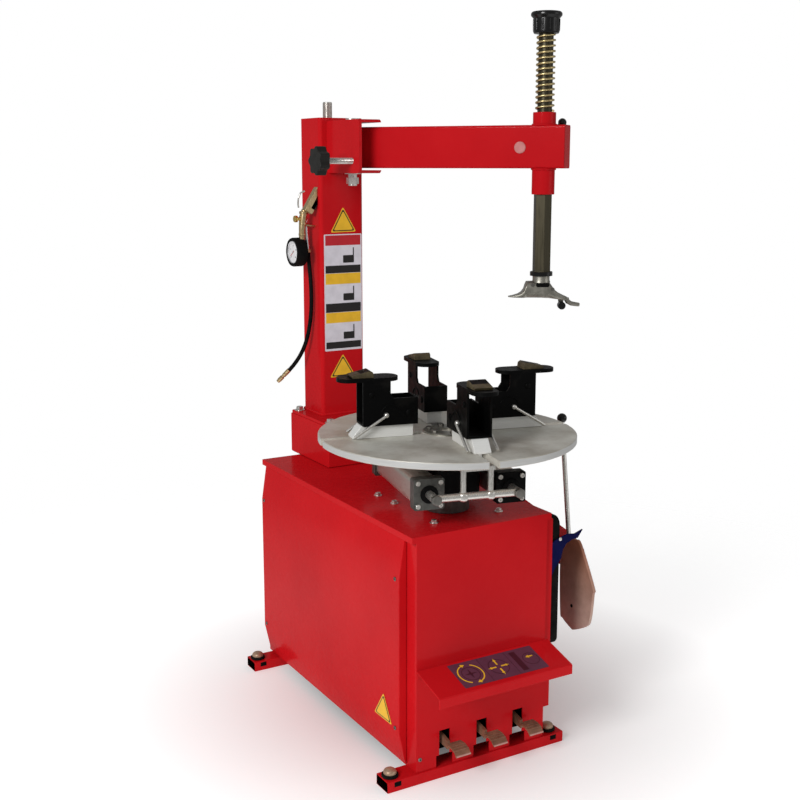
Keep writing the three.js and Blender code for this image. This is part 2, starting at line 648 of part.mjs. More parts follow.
function inflatorHose() {
  const path = new THREE.CatmullRomCurve3(HOSE_ROUTE.map((p) => new THREE.Vector3(...p)));
  const section = new THREE.Shape();
  section.absarc(0, 0, HOSE_RADIUS, 0, Math.PI * 2);
  return new THREE.ExtrudeGeometry(section, {
    extrudePath: path, steps: 26, curveSegments: 4, bevelEnabled: false,
  });
}

function tyreChuck() {
  const end = new THREE.Vector3(...HOSE_ROUTE.at(-1));
  const away = end.clone().sub(new THREE.Vector3(...HOSE_ROUTE.at(-2))).normalize();
  const start = end.clone().addScaledVector(away, GAP + 1);
  const tip = start.clone().addScaledVector(away, 34);
  return strut(start.toArray(), tip.toArray(), 6.5, 16);
}

place('inflator_gun', inflatorGun(), BRASS);
place('pressure_gauge', pressureGauge(), RUBBER);
place('gun_trigger', strut([-71, 372, 1352], [-84, 380, 1296], 2.5, 10), STEEL);
place('inflator_hose', toSolid(inflatorHose()), RUBBER);
place('tyre_chuck', tyreChuck(), BRASS);

// ---------------------------------------------------------------- origin under the middle of the machine
const loose = new Set(['inflator_hose', 'tyre_chuck']);
model.updateMatrixWorld(true);
const extent = new THREE.Box3();
model.traverse((item) => {
  if (item.isMesh && !loose.has(item.name)) extent.expandByObject(item, true);
});
const middle = extent.getCenter(new THREE.Vector3());
model.position.set(-middle.x, -middle.y, -extent.min.z);

const machine = new THREE.Group();
machine.add(model);

export default machine;
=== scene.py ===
"""Swing-arm tyre changer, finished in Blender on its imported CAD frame.

Shapes are written in cabinet millimetres: origin on the floor under the middle of the cabinet,
+Z up, the pedals at -Y and the bead breaker at +X. CABINET turns them into the frame's metres.
TABLE, ARM, SHAFT, HEAD and JAWS are further origins, each on the axis of a moving part.
"""
import math

import bmesh
import bpy
from mathutils import Matrix, Vector


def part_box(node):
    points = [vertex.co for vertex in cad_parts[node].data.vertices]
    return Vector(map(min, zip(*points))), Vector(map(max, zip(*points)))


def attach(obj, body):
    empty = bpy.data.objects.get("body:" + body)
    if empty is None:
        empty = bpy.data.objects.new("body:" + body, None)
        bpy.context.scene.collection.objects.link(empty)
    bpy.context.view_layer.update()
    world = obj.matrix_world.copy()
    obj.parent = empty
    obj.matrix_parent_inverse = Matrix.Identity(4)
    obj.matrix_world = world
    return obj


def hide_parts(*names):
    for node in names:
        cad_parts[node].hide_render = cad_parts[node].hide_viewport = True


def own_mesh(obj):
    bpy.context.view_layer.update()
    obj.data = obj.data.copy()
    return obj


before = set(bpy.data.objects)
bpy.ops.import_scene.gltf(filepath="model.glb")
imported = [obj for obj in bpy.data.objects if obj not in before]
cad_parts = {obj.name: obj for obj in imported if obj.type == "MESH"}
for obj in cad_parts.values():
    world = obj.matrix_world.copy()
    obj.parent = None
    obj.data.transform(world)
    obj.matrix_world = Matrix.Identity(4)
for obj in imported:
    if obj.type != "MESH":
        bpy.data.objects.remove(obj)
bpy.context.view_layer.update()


# -------- small helpers
def shift(x, y, z):
    """A move, as a matrix."""
    return Matrix.Translation((x, y, z))


def spin(degrees, axis="Z"):
    """A turn about one axis, as a matrix."""
    return Matrix.Rotation(math.radians(degrees), 4, axis)


def add_object(name, data):
    made = bpy.data.objects.new(name, data)
    bpy.context.scene.collection.objects.link(made)
    return made


# -------- places
cabinet_low, cabinet_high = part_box("cabinet_shell")
ORIGIN = Vector(((cabinet_low.x + cabinet_high.x) / 2, (cabinet_low.y + cabinet_high.y) / 2, 0))
CABINET = Matrix.Translation(ORIGIN) @ Matrix.Scale(0.001, 4)

FOOT_Y = (-393, 372)
FOOT_TOP = 27
LID_TOP = 600
COVER_X = 205
COLUMN_FACE = 347
COLUMN_CENTRE = (31, 407.5)
BASE_TOP = 722.3
TABLE_TOP = 791.6
TABLE_RADIUS = 310
CLAMP_Z = 687
CLAMP_Y = 100
ARM_PIVOT = (24.5, 271)
ARM_ANGLE = 38 - 90
ARM_REACH = 530
SPRING_BOTTOM = 1552.3
SPRING_TOP = 1742.7
HEAD_ANGLE = 22
BLADE_PIN = (356, -322)
BLADE_INNER_FACE = 329.7
BREAKER_LUG_TOP = 452
JAW_ANGLES = {"left": 167, "rear": 77, "right": -13, "front": -103}

TABLE = CABINET @ shift(0, -250.5, 0)
ARM = CABINET @ shift(*ARM_PIVOT, 0) @ spin(ARM_ANGLE)
SHAFT = ARM @ shift(ARM_REACH, 0, 0)
HEAD = SHAFT @ spin(HEAD_ANGLE)
JAWS = {name: TABLE @ spin(angle) for name, angle in JAW_ANGLES.items()}

Z_TO_X = spin(90, "Y")
Z_TO_LEFT = spin(-90, "Y")
Z_TO_FRONT = spin(90, "X")
Z_TO_ARM = Matrix(((0, 0, 1, 0), (1, 0, 0, 0), (0, 1, 0, 0), (0, 0, 0, 1)))


def at(x, y, z):
    """A point of the cabinet, in the frame's metres."""
    return CABINET @ Vector((x, y, z))


# -------- camera
def make_camera():
    """Looks from the front left, a little down, as the machine is usually shown."""
    azimuth = math.radians(30.2367)
    pitch = math.radians(10.407)
    data = bpy.data.cameras.new("camera")
    data.lens = 52.88
    data.shift_y = -0.0258
    data.clip_end = 50
    camera = add_object("camera", data)
    level = math.cos(pitch)
    ahead = Vector((math.sin(azimuth) * level, math.cos(azimuth) * level, -math.sin(pitch)))
    camera.location = at(-1488.2, -2579.4, 1425.2)
    camera.rotation_euler = ahead.to_track_quat("-Z", "Y").to_euler()
    bpy.context.scene.camera = camera


make_camera()


# -------- material helpers
class Material:
    """A Principled material with a few short ways to drive it from procedural textures."""

    def __init__(self, name, color, roughness, metallic=0.0, **sockets):
        self.material = bpy.data.materials.new(name)
        self.material.use_nodes = True
        self.material.diffuse_color = (*color, 1)
        self.nodes = self.material.node_tree.nodes
        self.links = self.material.node_tree.links
        self.shader = self.nodes["Principled BSDF"]
        self.shader.inputs["Base Color"].default_value = (*color, 1)
        self.shader.inputs["Roughness"].default_value = roughness
        self.shader.inputs["Metallic"].default_value = metallic
        for socket, value in sockets.items():
            self.shader.inputs[socket.replace("_", " ")].default_value = value
        self.place = self.nodes.new("ShaderNodeTexCoord").outputs["Object"]
        self.height = None

    def vector_math(self, operation, vector, other=(0, 0, 0)):
        node = self.nodes.new("ShaderNodeVectorMath")
        node.operation = operation
        node.inputs[1].default_value = other
        self.links.new(vector, node.inputs[0])
        return node.outputs

    def stretched(self, x, y, z, shifted=(0, 0, 0)):
        """Object coordinates moved and then scaled by a factor along each axis."""
        centred = self.vector_math("SUBTRACT", self.place, shifted)[0]
        return self.vector_math("MULTIPLY", centred, (x, y, z))[0]

    def length(self, vector):
        return self.vector_math("LENGTH", vector)["Value"]

    def noise(self, scale, detail=3.0, roughness=0.55, vector=None):
        node = self.nodes.new("ShaderNodeTexNoise")
        for socket, value in (("Scale", scale), ("Detail", detail), ("Roughness", roughness)):
            node.inputs[socket].default_value = value
        self.links.new(vector or self.place, node.inputs["Vector"])
        return node.outputs["Fac"]

    def ramp(self, factor, low, high, start=0.35, end=0.65):
        node = self.nodes.new("ShaderNodeValToRGB")
        for element, position, color in zip(node.color_ramp.elements, (start, end), (low, high)):
            element.position = position
            element.color = (*color, 1)
        self.links.new(factor, node.inputs["Fac"])
        return node.outputs["Color"]

    def span(self, factor, low, high, start=0.3, end=0.7):
        node = self.nodes.new("ShaderNodeMapRange")
        for socket, value in zip(("From Min", "From Max", "To Min", "To Max"), (start, end, low, high)):
            node.inputs[socket].default_value = value
        self.links.new(factor, node.inputs["Value"])
        return node.outputs["Result"]

    def multiply(self, first, second, factor):
        """Two colours multiplied; a smaller factor keeps more of the first."""
        mix = self.nodes.new("ShaderNodeMix")
        mix.data_type = "RGBA"
        mix.blend_type = "MULTIPLY"
        mix.inputs["Factor"].default_value = factor
        self.links.new(first, mix.inputs["A"])
        self.links.new(second, mix.inputs["B"])
        return mix.outputs["Result"]

    def color(self, output):
        self.links.new(output, self.shader.inputs["Base Color"])

    def roughness(self, factor, low, high, start=0.3, end=0.7):
        self.links.new(self.span(factor, low, high, start, end), self.shader.inputs["Roughness"])

    def bump(self, height, strength, distance_mm):
        """Adds one layer of relief over the layers already there."""
        node = self.nodes.new("ShaderNodeBump")
        node.inputs["Strength"].default_value = strength
        node.inputs["Distance"].default_value = distance_mm / 1000
        self.links.new(height, node.inputs["Height"])
        if self.height is not None:
            self.links.new(self.height, node.inputs["Normal"])
        self.height = node.outputs["Normal"]
        self.links.new(self.height, self.shader.inputs["Normal"])


def enamel(name, dark, light, roughness=0.26):
    """Sprayed gloss enamel: slight orange peel, faint cloudiness and a clear top coat."""
    m = Material(name, light, roughness, Specular_IOR_Level=0.01, Coat_Weight=0.12, Coat_Roughness=0.1)
    m.color(m.ramp(m.noise(3.0, 3.0), dark, light, 0.3, 0.65))
    m.roughness(m.noise(35.0, 3.0), roughness - 0.03, roughness + 0.06)
    m.bump(m.noise(260.0, 2.0), 0.05, 0.2)
    return m.material


def powder_coat(name, dark, light):
    """Black powder coat: fine leathery texture with dusty worn patches."""
    m = Material(name, dark, 0.45, Specular_IOR_Level=0.07)
    m.color(m.ramp(m.noise(18.0, 6.0, 0.7), dark, light, 0.52, 0.8))
    m.roughness(m.noise(60.0, 4.0), 0.35, 0.6)
    m.bump(m.noise(700.0, 2.0), 0.25, 0.15)
    return m.material


def brushed(name, dark, light, stretch, roughness=0.3, metallic=1.0):
    """Metal with fine lines along the axis that stretch leaves small."""
    m = Material(name, light, roughness, metallic)
    lines = m.noise(1.0, 4.0, 0.6, m.stretched(*stretch))
    m.color(m.ramp(lines, dark, light, 0.25, 0.7))
    m.roughness(lines, roughness - 0.08, roughness + 0.14)
    m.bump(lines, 0.04, 0.05)
    return m.material


def turned_plate(name, dark, light):
    """The turntable's machined top: fine rings round its axis, with old oil and rub marks."""
    centre = TABLE @ Vector((0, 0, 0))
    m = Material(name, light, 0.4, 0.35)
    combine = m.nodes.new("ShaderNodeCombineXYZ")
    m.links.new(m.length(m.stretched(1, 1, 0, centre)), combine.inputs["X"])
    rings = m.noise(900.0, 3.0, 0.6, combine.outputs["Vector"])
    stains = m.noise(9.0, 6.0, 0.65)
    stained = m.ramp(stains, dark, light, 0.3, 0.62)
    ringed = m.ramp(rings, (0.72, 0.72, 0.7), (1, 1, 1), 0.3, 0.6)
    m.color(m.multiply(stained, ringed, 0.5))
    m.roughness(stains, 0.34, 0.52)
    m.bump(rings, 0.15, 0.06)
    return m.material


def rough_metal(name, dark, light, roughness=0.45, metallic=0.8):
    """Cast or hot-rolled metal: mottled, pitted and a little dull."""
    m = Material(name, light, roughness, metallic)
    m.color(m.ramp(m.noise(28.0, 7.0, 0.7), dark, light, 0.32, 0.66))
    m.roughness(m.noise(80.0, 4.0), roughness - 0.1, roughness + 0.15)
    m.bump(m.noise(420.0, 4.0), 0.3, 0.12)
    return m.material


def blade_metal(name):
    """Steel rusted brown at the top and rubbed pinkish grey towards the bottom edge."""
    m = Material(name, (0.30, 0.19, 0.15), 0.45, 0.2)
    split = m.nodes.new("ShaderNodeSeparateXYZ")
    m.links.new(m.place, split.inputs[0])
    height = m.span(split.outputs["Z"], 0, 1, 0.27, 0.48)
    rubbed = m.ramp(height, (0.54, 0.39, 0.33), (0.42, 0.16, 0.09), 0, 1)
    mottled = m.ramp(m.noise(28.0, 7.0, 0.7), (0.78, 0.76, 0.74), (1, 1, 1), 0.32, 0.66)
    m.color(m.multiply(rubbed, mottled, 1.0))
    m.roughness(m.noise(80.0, 4.0), 0.36, 0.58)
    m.bump(m.noise(420.0, 4.0), 0.25, 0.1)
    return m.material


def rubber(name, dark, light):
    """Dull black rubber, or matt plastic, with a fine grain."""
    m = Material(name, dark, 0.75, Specular_IOR_Level=0.06)
    m.color(m.ramp(m.noise(30.0, 5.0, 0.6), dark, light, 0.45, 0.85))
    m.roughness(m.noise(90.0, 3.0), 0.62, 0.85)
    m.bump(m.noise(900.0, 3.0), 0.35, 0.12)
    return m.material


def moulded(name, dark, light, roughness=0.22):
    """Moulded plastic, with soft mould texture and slight handling marks."""
    m = Material(name, dark, roughness, Specular_IOR_Level=0.3, Coat_Weight=0.08, Coat_Roughness=0.1)
    m.color(m.ramp(m.noise(14.0, 4.0), dark, light, 0.4, 0.75))
    m.roughness(m.noise(50.0, 5.0), roughness - 0.06, roughness + 0.14)
    m.bump(m.noise(380.0, 2.0), 0.1, 0.12)
    return m.material


def print_film(name, color):
    """Printed vinyl film, very slightly uneven."""
    m = Material(name, color, 0.4, Specular_IOR_Level=0.2)
    shade = tuple(c * 0.88 for c in color)
    m.color(m.ramp(m.noise(40.0, 3.0), shade, color, 0.3, 0.6))
    m.bump(m.noise(120.0, 2.0), 0.05, 0.1)
    return m.material


RED = enamel("red_enamel", (0.49, 0.006, 0.010), (0.57, 0.009, 0.013))
GREY_PAINT = enamel("grey_enamel", (0.13, 0.135, 0.14), (0.17, 0.175, 0.18), 0.4)
BLACK_COAT = powder_coat("black_powder_coat", (0.0015, 0.0015, 0.0015), (0.010, 0.009, 0.008))
GRIP_STEEL = rough_metal("worn_grip_steel", (0.040, 0.030, 0.015), (0.14, 0.11, 0.055), 0.5, 0.4)
TABLE_GREY = turned_plate("turned_table_grey", (0.42, 0.38, 0.31), (0.70, 0.69, 0.63))
CAST = rough_metal("machined_cast_grey", (0.17, 0.165, 0.14), (0.36, 0.345, 0.30), 0.36, 0.85)
BRIGHT = brushed("bright_steel", (0.58, 0.56, 0.52), (0.76, 0.74, 0.70), (900, 900, 60), 0.26, 0.9)
SLIDE_STEEL = brushed("slide_steel", (0.74, 0.74, 0.71), (0.84, 0.84, 0.82), (25, 25, 1400), 0.36, 0.25)
HEX_STEEL = brushed(
    "oiled_hex_steel", (0.026, 0.022, 0.012), (0.062, 0.053, 0.032), (260, 260, 14), 0.38, 0.8)
ZINC = brushed("yellow_zinc", (0.44, 0.33, 0.13), (0.74, 0.62, 0.34), (400, 400, 400), 0.26)
DRAWN_ALUMINIUM = brushed(
    "drawn_aluminium", (0.47, 0.43, 0.38), (0.66, 0.62, 0.56), (120, 120, 700), 0.34)
BLADE_STEEL = blade_metal("blade_steel")
TREAD_STEEL = rough_metal("tread_steel", (0.15, 0.065, 0.036), (0.32, 0.165, 0.10), 0.45, 0.3)
BRASS = brushed("brass", (0.42, 0.30, 0.14), (0.68, 0.53, 0.31), (350, 350, 60), 0.3)
YELLOW_BRASS = brushed("polished_brass", (0.62, 0.42, 0.10), (0.85, 0.62, 0.20), (200, 200, 200), 0.2)
CHROME = brushed("chrome", (0.70, 0.70, 0.72), (0.88, 0.88, 0.90), (60, 60, 60), 0.14)
RUBBER = rubber("black_rubber", (0.004, 0.004, 0.004), (0.014, 0.012, 0.010))
BLACK_GLOSS = moulded("black_gloss_plastic", (0.002, 0.002, 0.002), (0.006, 0.006, 0.006), 0.18)
KNOB_BLACK = moulded("knob_plastic", (0.003, 0.003, 0.002), (0.008, 0.007, 0.005), 0.45)
BLUE = rubber("blue_plastic", (0.003, 0.004, 0.045), (0.006, 0.008, 0.075))
RED_CLIP = moulded("red_plastic", (0.55, 0.012, 0.012), (0.72, 0.02, 0.02), 0.35)
YELLOW_FILM = print_film("yellow_film", (0.85, 0.50, 0.03))
WHITE_FILM = print_film("white_film", (0.72, 0.70, 0.76))
BLACK_FILM = print_film("black_film", (0.02, 0.018, 0.018))
RED_FILM = print_film("red_film", (0.50, 0.02, 0.03))
DIAL_WHITE = print_film("dial_white", (0.80, 0.79, 0.80))
PURPLE_FILM = print_film("purple_film", (0.115, 0.038, 0.068))
DEEP_FILM = print_film("deep_purple_film", (0.055, 0.012, 0.022))
SCREW_STEEL = rough_metal("dull_screw_steel", (0.10, 0.095, 0.085), (0.24, 0.23, 0.21), 0.4, 0.9)
ANCHOR_ZINC = rough_metal("anchor_zinc", (0.26, 0.16, 0.10), (0.46, 0.32, 0.22), 0.4, 0.5)
BLOCK_GREY = rough_metal("anodised_grey", (0.055, 0.055, 0.050), (0.12, 0.12, 0.11), 0.4, 0.7)
RIM_STEEL = brushed("turned_rim_steel", (0.60, 0.60, 0.58), (0.68, 0.68, 0.67), (20, 20, 1200), 0.36, 0.5)
PLUG_GREY = rough_metal("plug_grey", (0.38, 0.10, 0.10), (0.48, 0.15, 0.14), 0.45, 0.1)
LIP_STEEL = rough_metal("rubbed_lip", (0.46, 0.24, 0.20), (0.58, 0.34, 0.29), 0.42, 0.3)
# Near-black for slots, holes and recesses: painted shade for the dark inside of each opening.
SHADE_BORE = rubber("shadowed_bore", (0.003, 0.003, 0.003), (0.006, 0.006, 0.006))


# -------- mesh helpers, in millimetres
def lathe(profile, sides=64):
    """A profile of (radius, height) turned about Z; a radius of 0 closes it on the axis."""
    bm = bmesh.new()
    rings = []
    for radius, z in profile:
        if radius == 0:
            rings.append([bm.verts.new((0, 0, z))])
            continue
        turns = [math.tau * i / sides for i in range(sides)]
        rings.append([bm.verts.new((radius * math.cos(t), radius * math.sin(t), z)) for t in turns])
    closed = profile[0] == profile[-1] and profile[0][0] != 0
    if closed:
        for vert in rings.pop():
            bm.verts.remove(vert)
        rings.append(rings[0])
    for low, high in zip(rings, rings[1:]):
        for i in range(sides):
            j = (i + 1) % sides
            corners = [low[i % len(low)], low[j % len(low)], high[j % len(high)], high[i % len(high)]]
            unique = list(dict.fromkeys(corners))
            if len(unique) > 2:
                bm.faces.new(unique)
    return bm


def disc(radius, low, high, sides=32):
    return lathe([(0, low), (radius, low), (radius, high), (0, high)], sides)


def ring(inner, outer, low, high, sides=48):
    return lathe([(inner, low), (outer, low), (outer, high), (inner, high), (inner, low)], sides)


def skin(sections, closed=False):
    """A surface through rings of points, capped at both ends unless it closes on itself."""
    bm = bmesh.new()
    rings = [[bm.verts.new(p) for p in section] for section in sections]
    pairs = list(zip(rings, rings[1:])) + ([(rings[-1], rings[0])] if closed else [])
    for low, high in pairs:
        for i in range(len(low)):
            j = (i + 1) % len(low)
            bm.faces.new((low[i], low[j], high[j], high[i]))
    if not closed:
        bm.faces.new(list(reversed(rings[0])))
        bm.faces.new(rings[-1])
    return bm


def prism(points, z0, z1):
    """A flat outline of (x, y) raised from z0 to z1."""
    return skin([[(x, y, z) for x, y in points] for z in (z0, z1)])


def rectangle(x0, x1, y0, y1):
    return [(x0, y0), (x1, y0), (x1, y1), (x0, y1)]


def box(x0, x1, y0, y1, z0, z1):
    return prism(rectangle(x0, x1, y0, y1), z0, z1)


def arc(x, y, radius, start, end, steps=10):
    """Points of an arc, in degrees."""
    turns = [math.radians(start + (end - start) * i / steps) for i in range(steps + 1)]
    return [(x + radius * math.cos(t), y + radius * math.sin(t)) for t in turns]


def rounded(half_width, half_height, radius, x=0, y=0, steps=6):
    """The outline of a rectangle with round corners."""
    w, h = half_width - radius, half_height - radius
    corners = ((w, h, 0), (-w, h, 90), (-w, -h, 180), (w, -h, 270))
    return [p for cx, cy, turn in corners for p in arc(x + cx, y + cy, radius, turn, turn + 90, steps)]


def sweep(path, radius, sides=16, closed=False):
    """A round bar along a list of points; radius is one number or one for each point."""
    points = [Vector(p) for p in path]
    radii = radius if isinstance(radius, (list, tuple)) else [radius] * len(points)
    count = len(points)
    sections = []
    side = None
    for i, point in enumerate(points):
        before = points[i - 1] if i or closed else point
        after = points[(i + 1) % count] if i + 1 < count or closed else point
        along = (after - before).normalized()
        if side is None:
            side = along.orthogonal().normalized()
        side = (side - along * side.dot(along)).normalized()
        other = along.cross(side)
        turns = [math.tau * k / sides for k in range(sides)]
        sections.append([point + (side * math.cos(t) + other * math.sin(t)) * radii[i] for t in turns])
    return skin(sections, closed)


def moved(bm, matrix):
    bm.transform(matrix)
    return bm


def joined(*parts):
    """Several loose shapes as one mesh."""
    whole = bmesh.new()
    for part in parts:
        mesh = bpy.data.meshes.new("part")
        part.to_mesh(mesh)
        part.free()
        whole.from_mesh(mesh)
        bpy.data.meshes.remove(mesh)
    return whole


def put(name, bm, local, material, body, slot, bevel=0.0, stands_for=(), subdivide=0, segments=2):
    """Makes a piece from a mesh in local millimetres and lets it ride on a body."""
    bm.transform(local)
    bmesh.ops.recalc_face_normals(bm, faces=bm.faces)
    mesh = bpy.data.meshes.new(name)
    bm.to_mesh(mesh)
    bm.free()
    mesh.materials.append(material)
    mesh.shade_smooth()
    mesh.set_sharp_from_angle(angle=math.radians(35))
    piece = add_object(name, mesh)
    if subdivide:
        smooth = piece.modifiers.new("smooth", "SUBSURF")
        smooth.levels = subdivide
        smooth.render_levels = subdivide
    if bevel:
        round_edges(piece, bevel, segments)
    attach(piece, body)
    if stands_for:
        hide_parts(*stands_for)
    return piece


def round_edges(piece, width_mm, segments=2):
    """Small rounded edges, with normals that keep the flat faces looking flat."""
    bevel = piece.modifiers.new("edges", "BEVEL")
    bevel.width = width_mm / 1000
    bevel.segments = segments
    bevel.limit_method = "ANGLE"
    bevel.angle_limit = math.radians(33)
    bevel.use_clamp_overlap = True
    normals = piece.modifiers.new("normals", "WEIGHTED_NORMAL")
    normals.keep_sharp = False
    normals.weight = 80


def finish_node(node, material, edge_mm=0.0, segments=2):
    """Gives a CAD node its material and, where it has hard edges, small rounded ones."""
    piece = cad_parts[node]
    piece.data.materials.clear()
    piece.data.materials.append(material)
    weld = piece.modifiers.new("weld", "WELD")
    weld.merge_threshold = 0.00001
    flat = piece.modifiers.new("flat", "DECIMATE")
    flat.decimate_type = "DISSOLVE"
    flat.angle_limit = math.radians(1)
    if edge_mm:
        round_edges(piece, edge_mm, segments)


# -------- hose and tyre chuck
HOSE_ROUTE = [
    (-53, 391.8, 1181.4), (-52, 391, 1160), (-50.5, 389, 1135), (-49.5, 386, 1105), (-49, 384, 1072),
    (-49, 384, 1040), (-49.5, 387, 1008), (-51.5, 392, 976), (-55, 399, 945), (-60, 409, 916),
    (-67, 421, 890), (-76, 433, 868), (-87, 444, 849), (-99, 454, 833),
]
HOSE_RADIUS = 5.7


def make_hose():
    """A round hose on a smooth curve through its route."""
    data = bpy.data.curves.new("whip_hose", "CURVE")
    data.dimensions = "3D"
    data.bevel_depth = HOSE_RADIUS / 1000
    data.bevel_resolution = 6
    data.resolution_u = 12
    data.use_fill_caps = True
    spline = data.splines.new("BEZIER")
    spline.bezier_points.add(len(HOSE_ROUTE) - 1)
    for point, place in zip(spline.bezier_points, HOSE_ROUTE):
        point.co = at(*place)
        point.handle_left_type = "AUTO"
        point.handle_right_type = "AUTO"
    data.materials.append(RUBBER)
    hose = add_object("whip_hose", data)
    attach(hose, "air_gun")
    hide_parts("inflator_hose")
    return hose


def make_chuck():
    """Ferrule, brass body and clip-on jaw at the free end of the hose."""
    end = Vector(HOSE_ROUTE[-1])
    away = (end - Vector(HOSE_ROUTE[-2])).normalized()
    local = CABINET @ shift(*end) @ away.to_track_quat("Z", "X").to_matrix().to_4x4()
    ferrule = put("chuck_ferrule", lathe([
        (5.9, -14), (6.6, -13.4), (6.6, -10), (6.2, -9.6), (6.6, -9.2), (6.6, -5), (6.2, -4.6), (6.6, -4.2),
        (6.6, 0), (5.9, 0.2), (5.9, -14),
    ], 32), local, BRASS, "air_gun", "brass")
    body = put("chuck_body", lathe([
        (0, 0.6), (5.4, 0.6), (6.4, 1.4), (6.4, 9), (5.0, 10), (5.0, 14), (6.5, 15), (6.5, 29), (5.6, 30.5),
        (5.6, 34), (4.6, 35), (2.6, 35), (2.6, 31), (0, 31),
    ], 32), local, BRASS, "air_gun", "brass", stands_for=("tyre_chuck",))
    clip = put("chuck_clip", joined(
        box(-3.2, 3.2, 5.0, 8.0, 8, 31),
        moved(disc(2.0, -3.4, 3.4, 20), shift(0, 7.4, 14) @ Z_TO_X),
    ), local, RED_CLIP, "air_gun", "brass", bevel=0.8)
    return [ferrule, body, clip]


hose = make_hose()
chuck = make_chuck()


# -------- small hardware
def hex_bolt(across_flats, height, washer=0.0):
    """A chamfered hexagon head standing on a washer, from z = 0 up."""
    corner = across_flats / math.sqrt(3)
    lift = 2.2 if washer else 0.0
    top = lift + height
    head = lathe([(0, lift), (corner, lift), (corner, top - 1.6), (corner - 1.6, top), (0, top)], 6)
    face = lathe([(0, top - 0.3), (corner - 2.0, top - 0.3), (corner - 3.2, top + 0.4), (0, top + 0.4)], 32)
    parts = [head, face]
    if washer:
        profile = [(0, 0), (washer, 0), (washer, lift - 0.4), (washer - 0.5, lift), (0, lift)]
        parts.append(lathe(profile, 40))
    return joined(*parts)


def dome(radius, height, base=0.0):
    """A round-topped head on a short straight skirt, from z = base up."""
    skirt = height * 0.3
    profile = [(0, base), (radius, base), (radius, base + skirt)]
    for degrees in range(10, 90, 10):
        turn = math.radians(degrees)
        profile.append((radius * math.cos(turn), base + skirt + (height - skirt) * math.sin(turn)))
    return lathe(profile + [(0, base + height)], 40)


def cross_recess(radius):
    """A dark cross on the top of a screw's dome: painted shade for the shadow in its cross recess."""
    arm, thin, top = radius * 0.5, radius * 0.12, radius * 0.57
    return joined(box(-arm, arm, -thin, thin, top - 0.8, top), box(-thin, thin, -arm, arm, top - 0.8, top))


def add_screw(name, local, radius, body="machine"):
    put(name, dome(radius, radius * 0.55), local, SCREW_STEEL, body, "steel")
    # The recess is a thin near-black cross: painted shade, not a cut.
    put(name + "_recess", cross_recess(radius), local, SHADE_BORE, body, "black_plastic")


def anchor_bolts():
    """A domed bolt on a rubber washer at each end of both feet, and beside them near-black boxes of painted
    shade for the slots.
    """
    for row, foot_y in zip(("front", "rear"), FOOT_Y):
        for tag, x, slot_x in (("left", -241, -235), ("right", 213, 212)):
            local = CABINET @ shift(x, foot_y, FOOT_TOP)
            washer = lathe([(0, 0), (18.5, 0), (20, 1.5), (20, 6), (18.5, 7.5), (0, 7.5)], 48)
            put(f"anchor_washer_{row}_{tag}", washer, local, RUBBER, "machine", "rubber")
            put(f"anchor_bolt_{row}_{tag}", dome(15.5, 13, 7.5), local, ANCHOR_ZINC, "machine", "steel")
            face = foot_y - 27
            # Each slot is a thin near-black box: painted shade for the inside of the slot.
            put(f"foot_slot_{row}_{tag}", box(slot_x - 9, slot_x + 9, face - 0.3, face + 1, 12, 24),
                CABINET, SHADE_BORE, "machine", "black_plastic", bevel=0.25)


def cabinet_hardware():
    """Feet bolts, side cover screws, lid bolts and the bolts of the column's base plate."""
    anchor_bolts()
    for side, tag in ((-1, "left"), (1, "right")):
        turn = Z_TO_LEFT if side < 0 else Z_TO_X
        front, rear = (-355 if side < 0 else -392), 385
        for i, (y, z) in enumerate(((rear, 488), (front, 488), (rear, 121), (front, 121))):
            add_screw(f"cover_screw_{tag}_{i}", CABINET @ shift(side * COVER_X, y, z) @ turn, 5.0)
        for i, y in enumerate((-73, -156, -341)):
            local = CABINET @ shift(side * 92, y, LID_TOP)
            put(f"lid_bolt_{tag}_{i}", hex_bolt(13, 6, 10), local, BRIGHT, "machine", "steel", bevel=0.25)
    add_screw("front_screw", CABINET @ shift(-173, -415, 59) @ Z_TO_FRONT, 5.0)
    for i, (x, y) in enumerate(((-60, 252), (-60, 448), (122, 252), (122, 448))):
        local = CABINET @ shift(x, y, BASE_TOP)
        put(f"base_bolt_{i}", hex_bolt(19, 9, 15), local, BRIGHT, "machine", "steel", bevel=0.3)


def base_shade_pan():
    """Black tray that closes the underside: a dark sheet painted as shade, so the pedal slots look into
    shade.
    """
    # Tray and upright side are black: painted shade under the cabinet.
    tray = joined(box(-170, 178, -342, 342, 27, 30), box(175, 178, -342, 342, 28, 118))
    put("base_shade_pan", tray, CABINET, BLACK_COAT, "machine", "black_paint", bevel=0.8)


def left_cover():
    """The left side panel: folded in along its top and bottom, and pressed slightly hollow."""
    inner, outer = -184, -COVER_X
    bottom, top = 32, 583
    front, rear = -373, 400
    outline = [
        (inner, bottom), (inner - 3, bottom), (outer, bottom + 81), (outer, top - 92), (inner - 7, top),
        (inner, top),
    ]
    panel = moved(prism(outline, -rear, -front), Z_TO_FRONT)
    bmesh.ops.recalc_face_normals(panel, faces=panel.faces)
    panel.faces.ensure_lookup_table()
    middle = max(panel.faces, key=lambda face: -face.calc_center_median().x * (face.normal.x < -0.999))
    bmesh.ops.poke(panel, faces=[middle], offset=-5)
    put("left_side_panel", panel, CABINET, RED, "machine", "red_paint", bevel=2.5, segments=3,
        stands_for=("left_cover",))


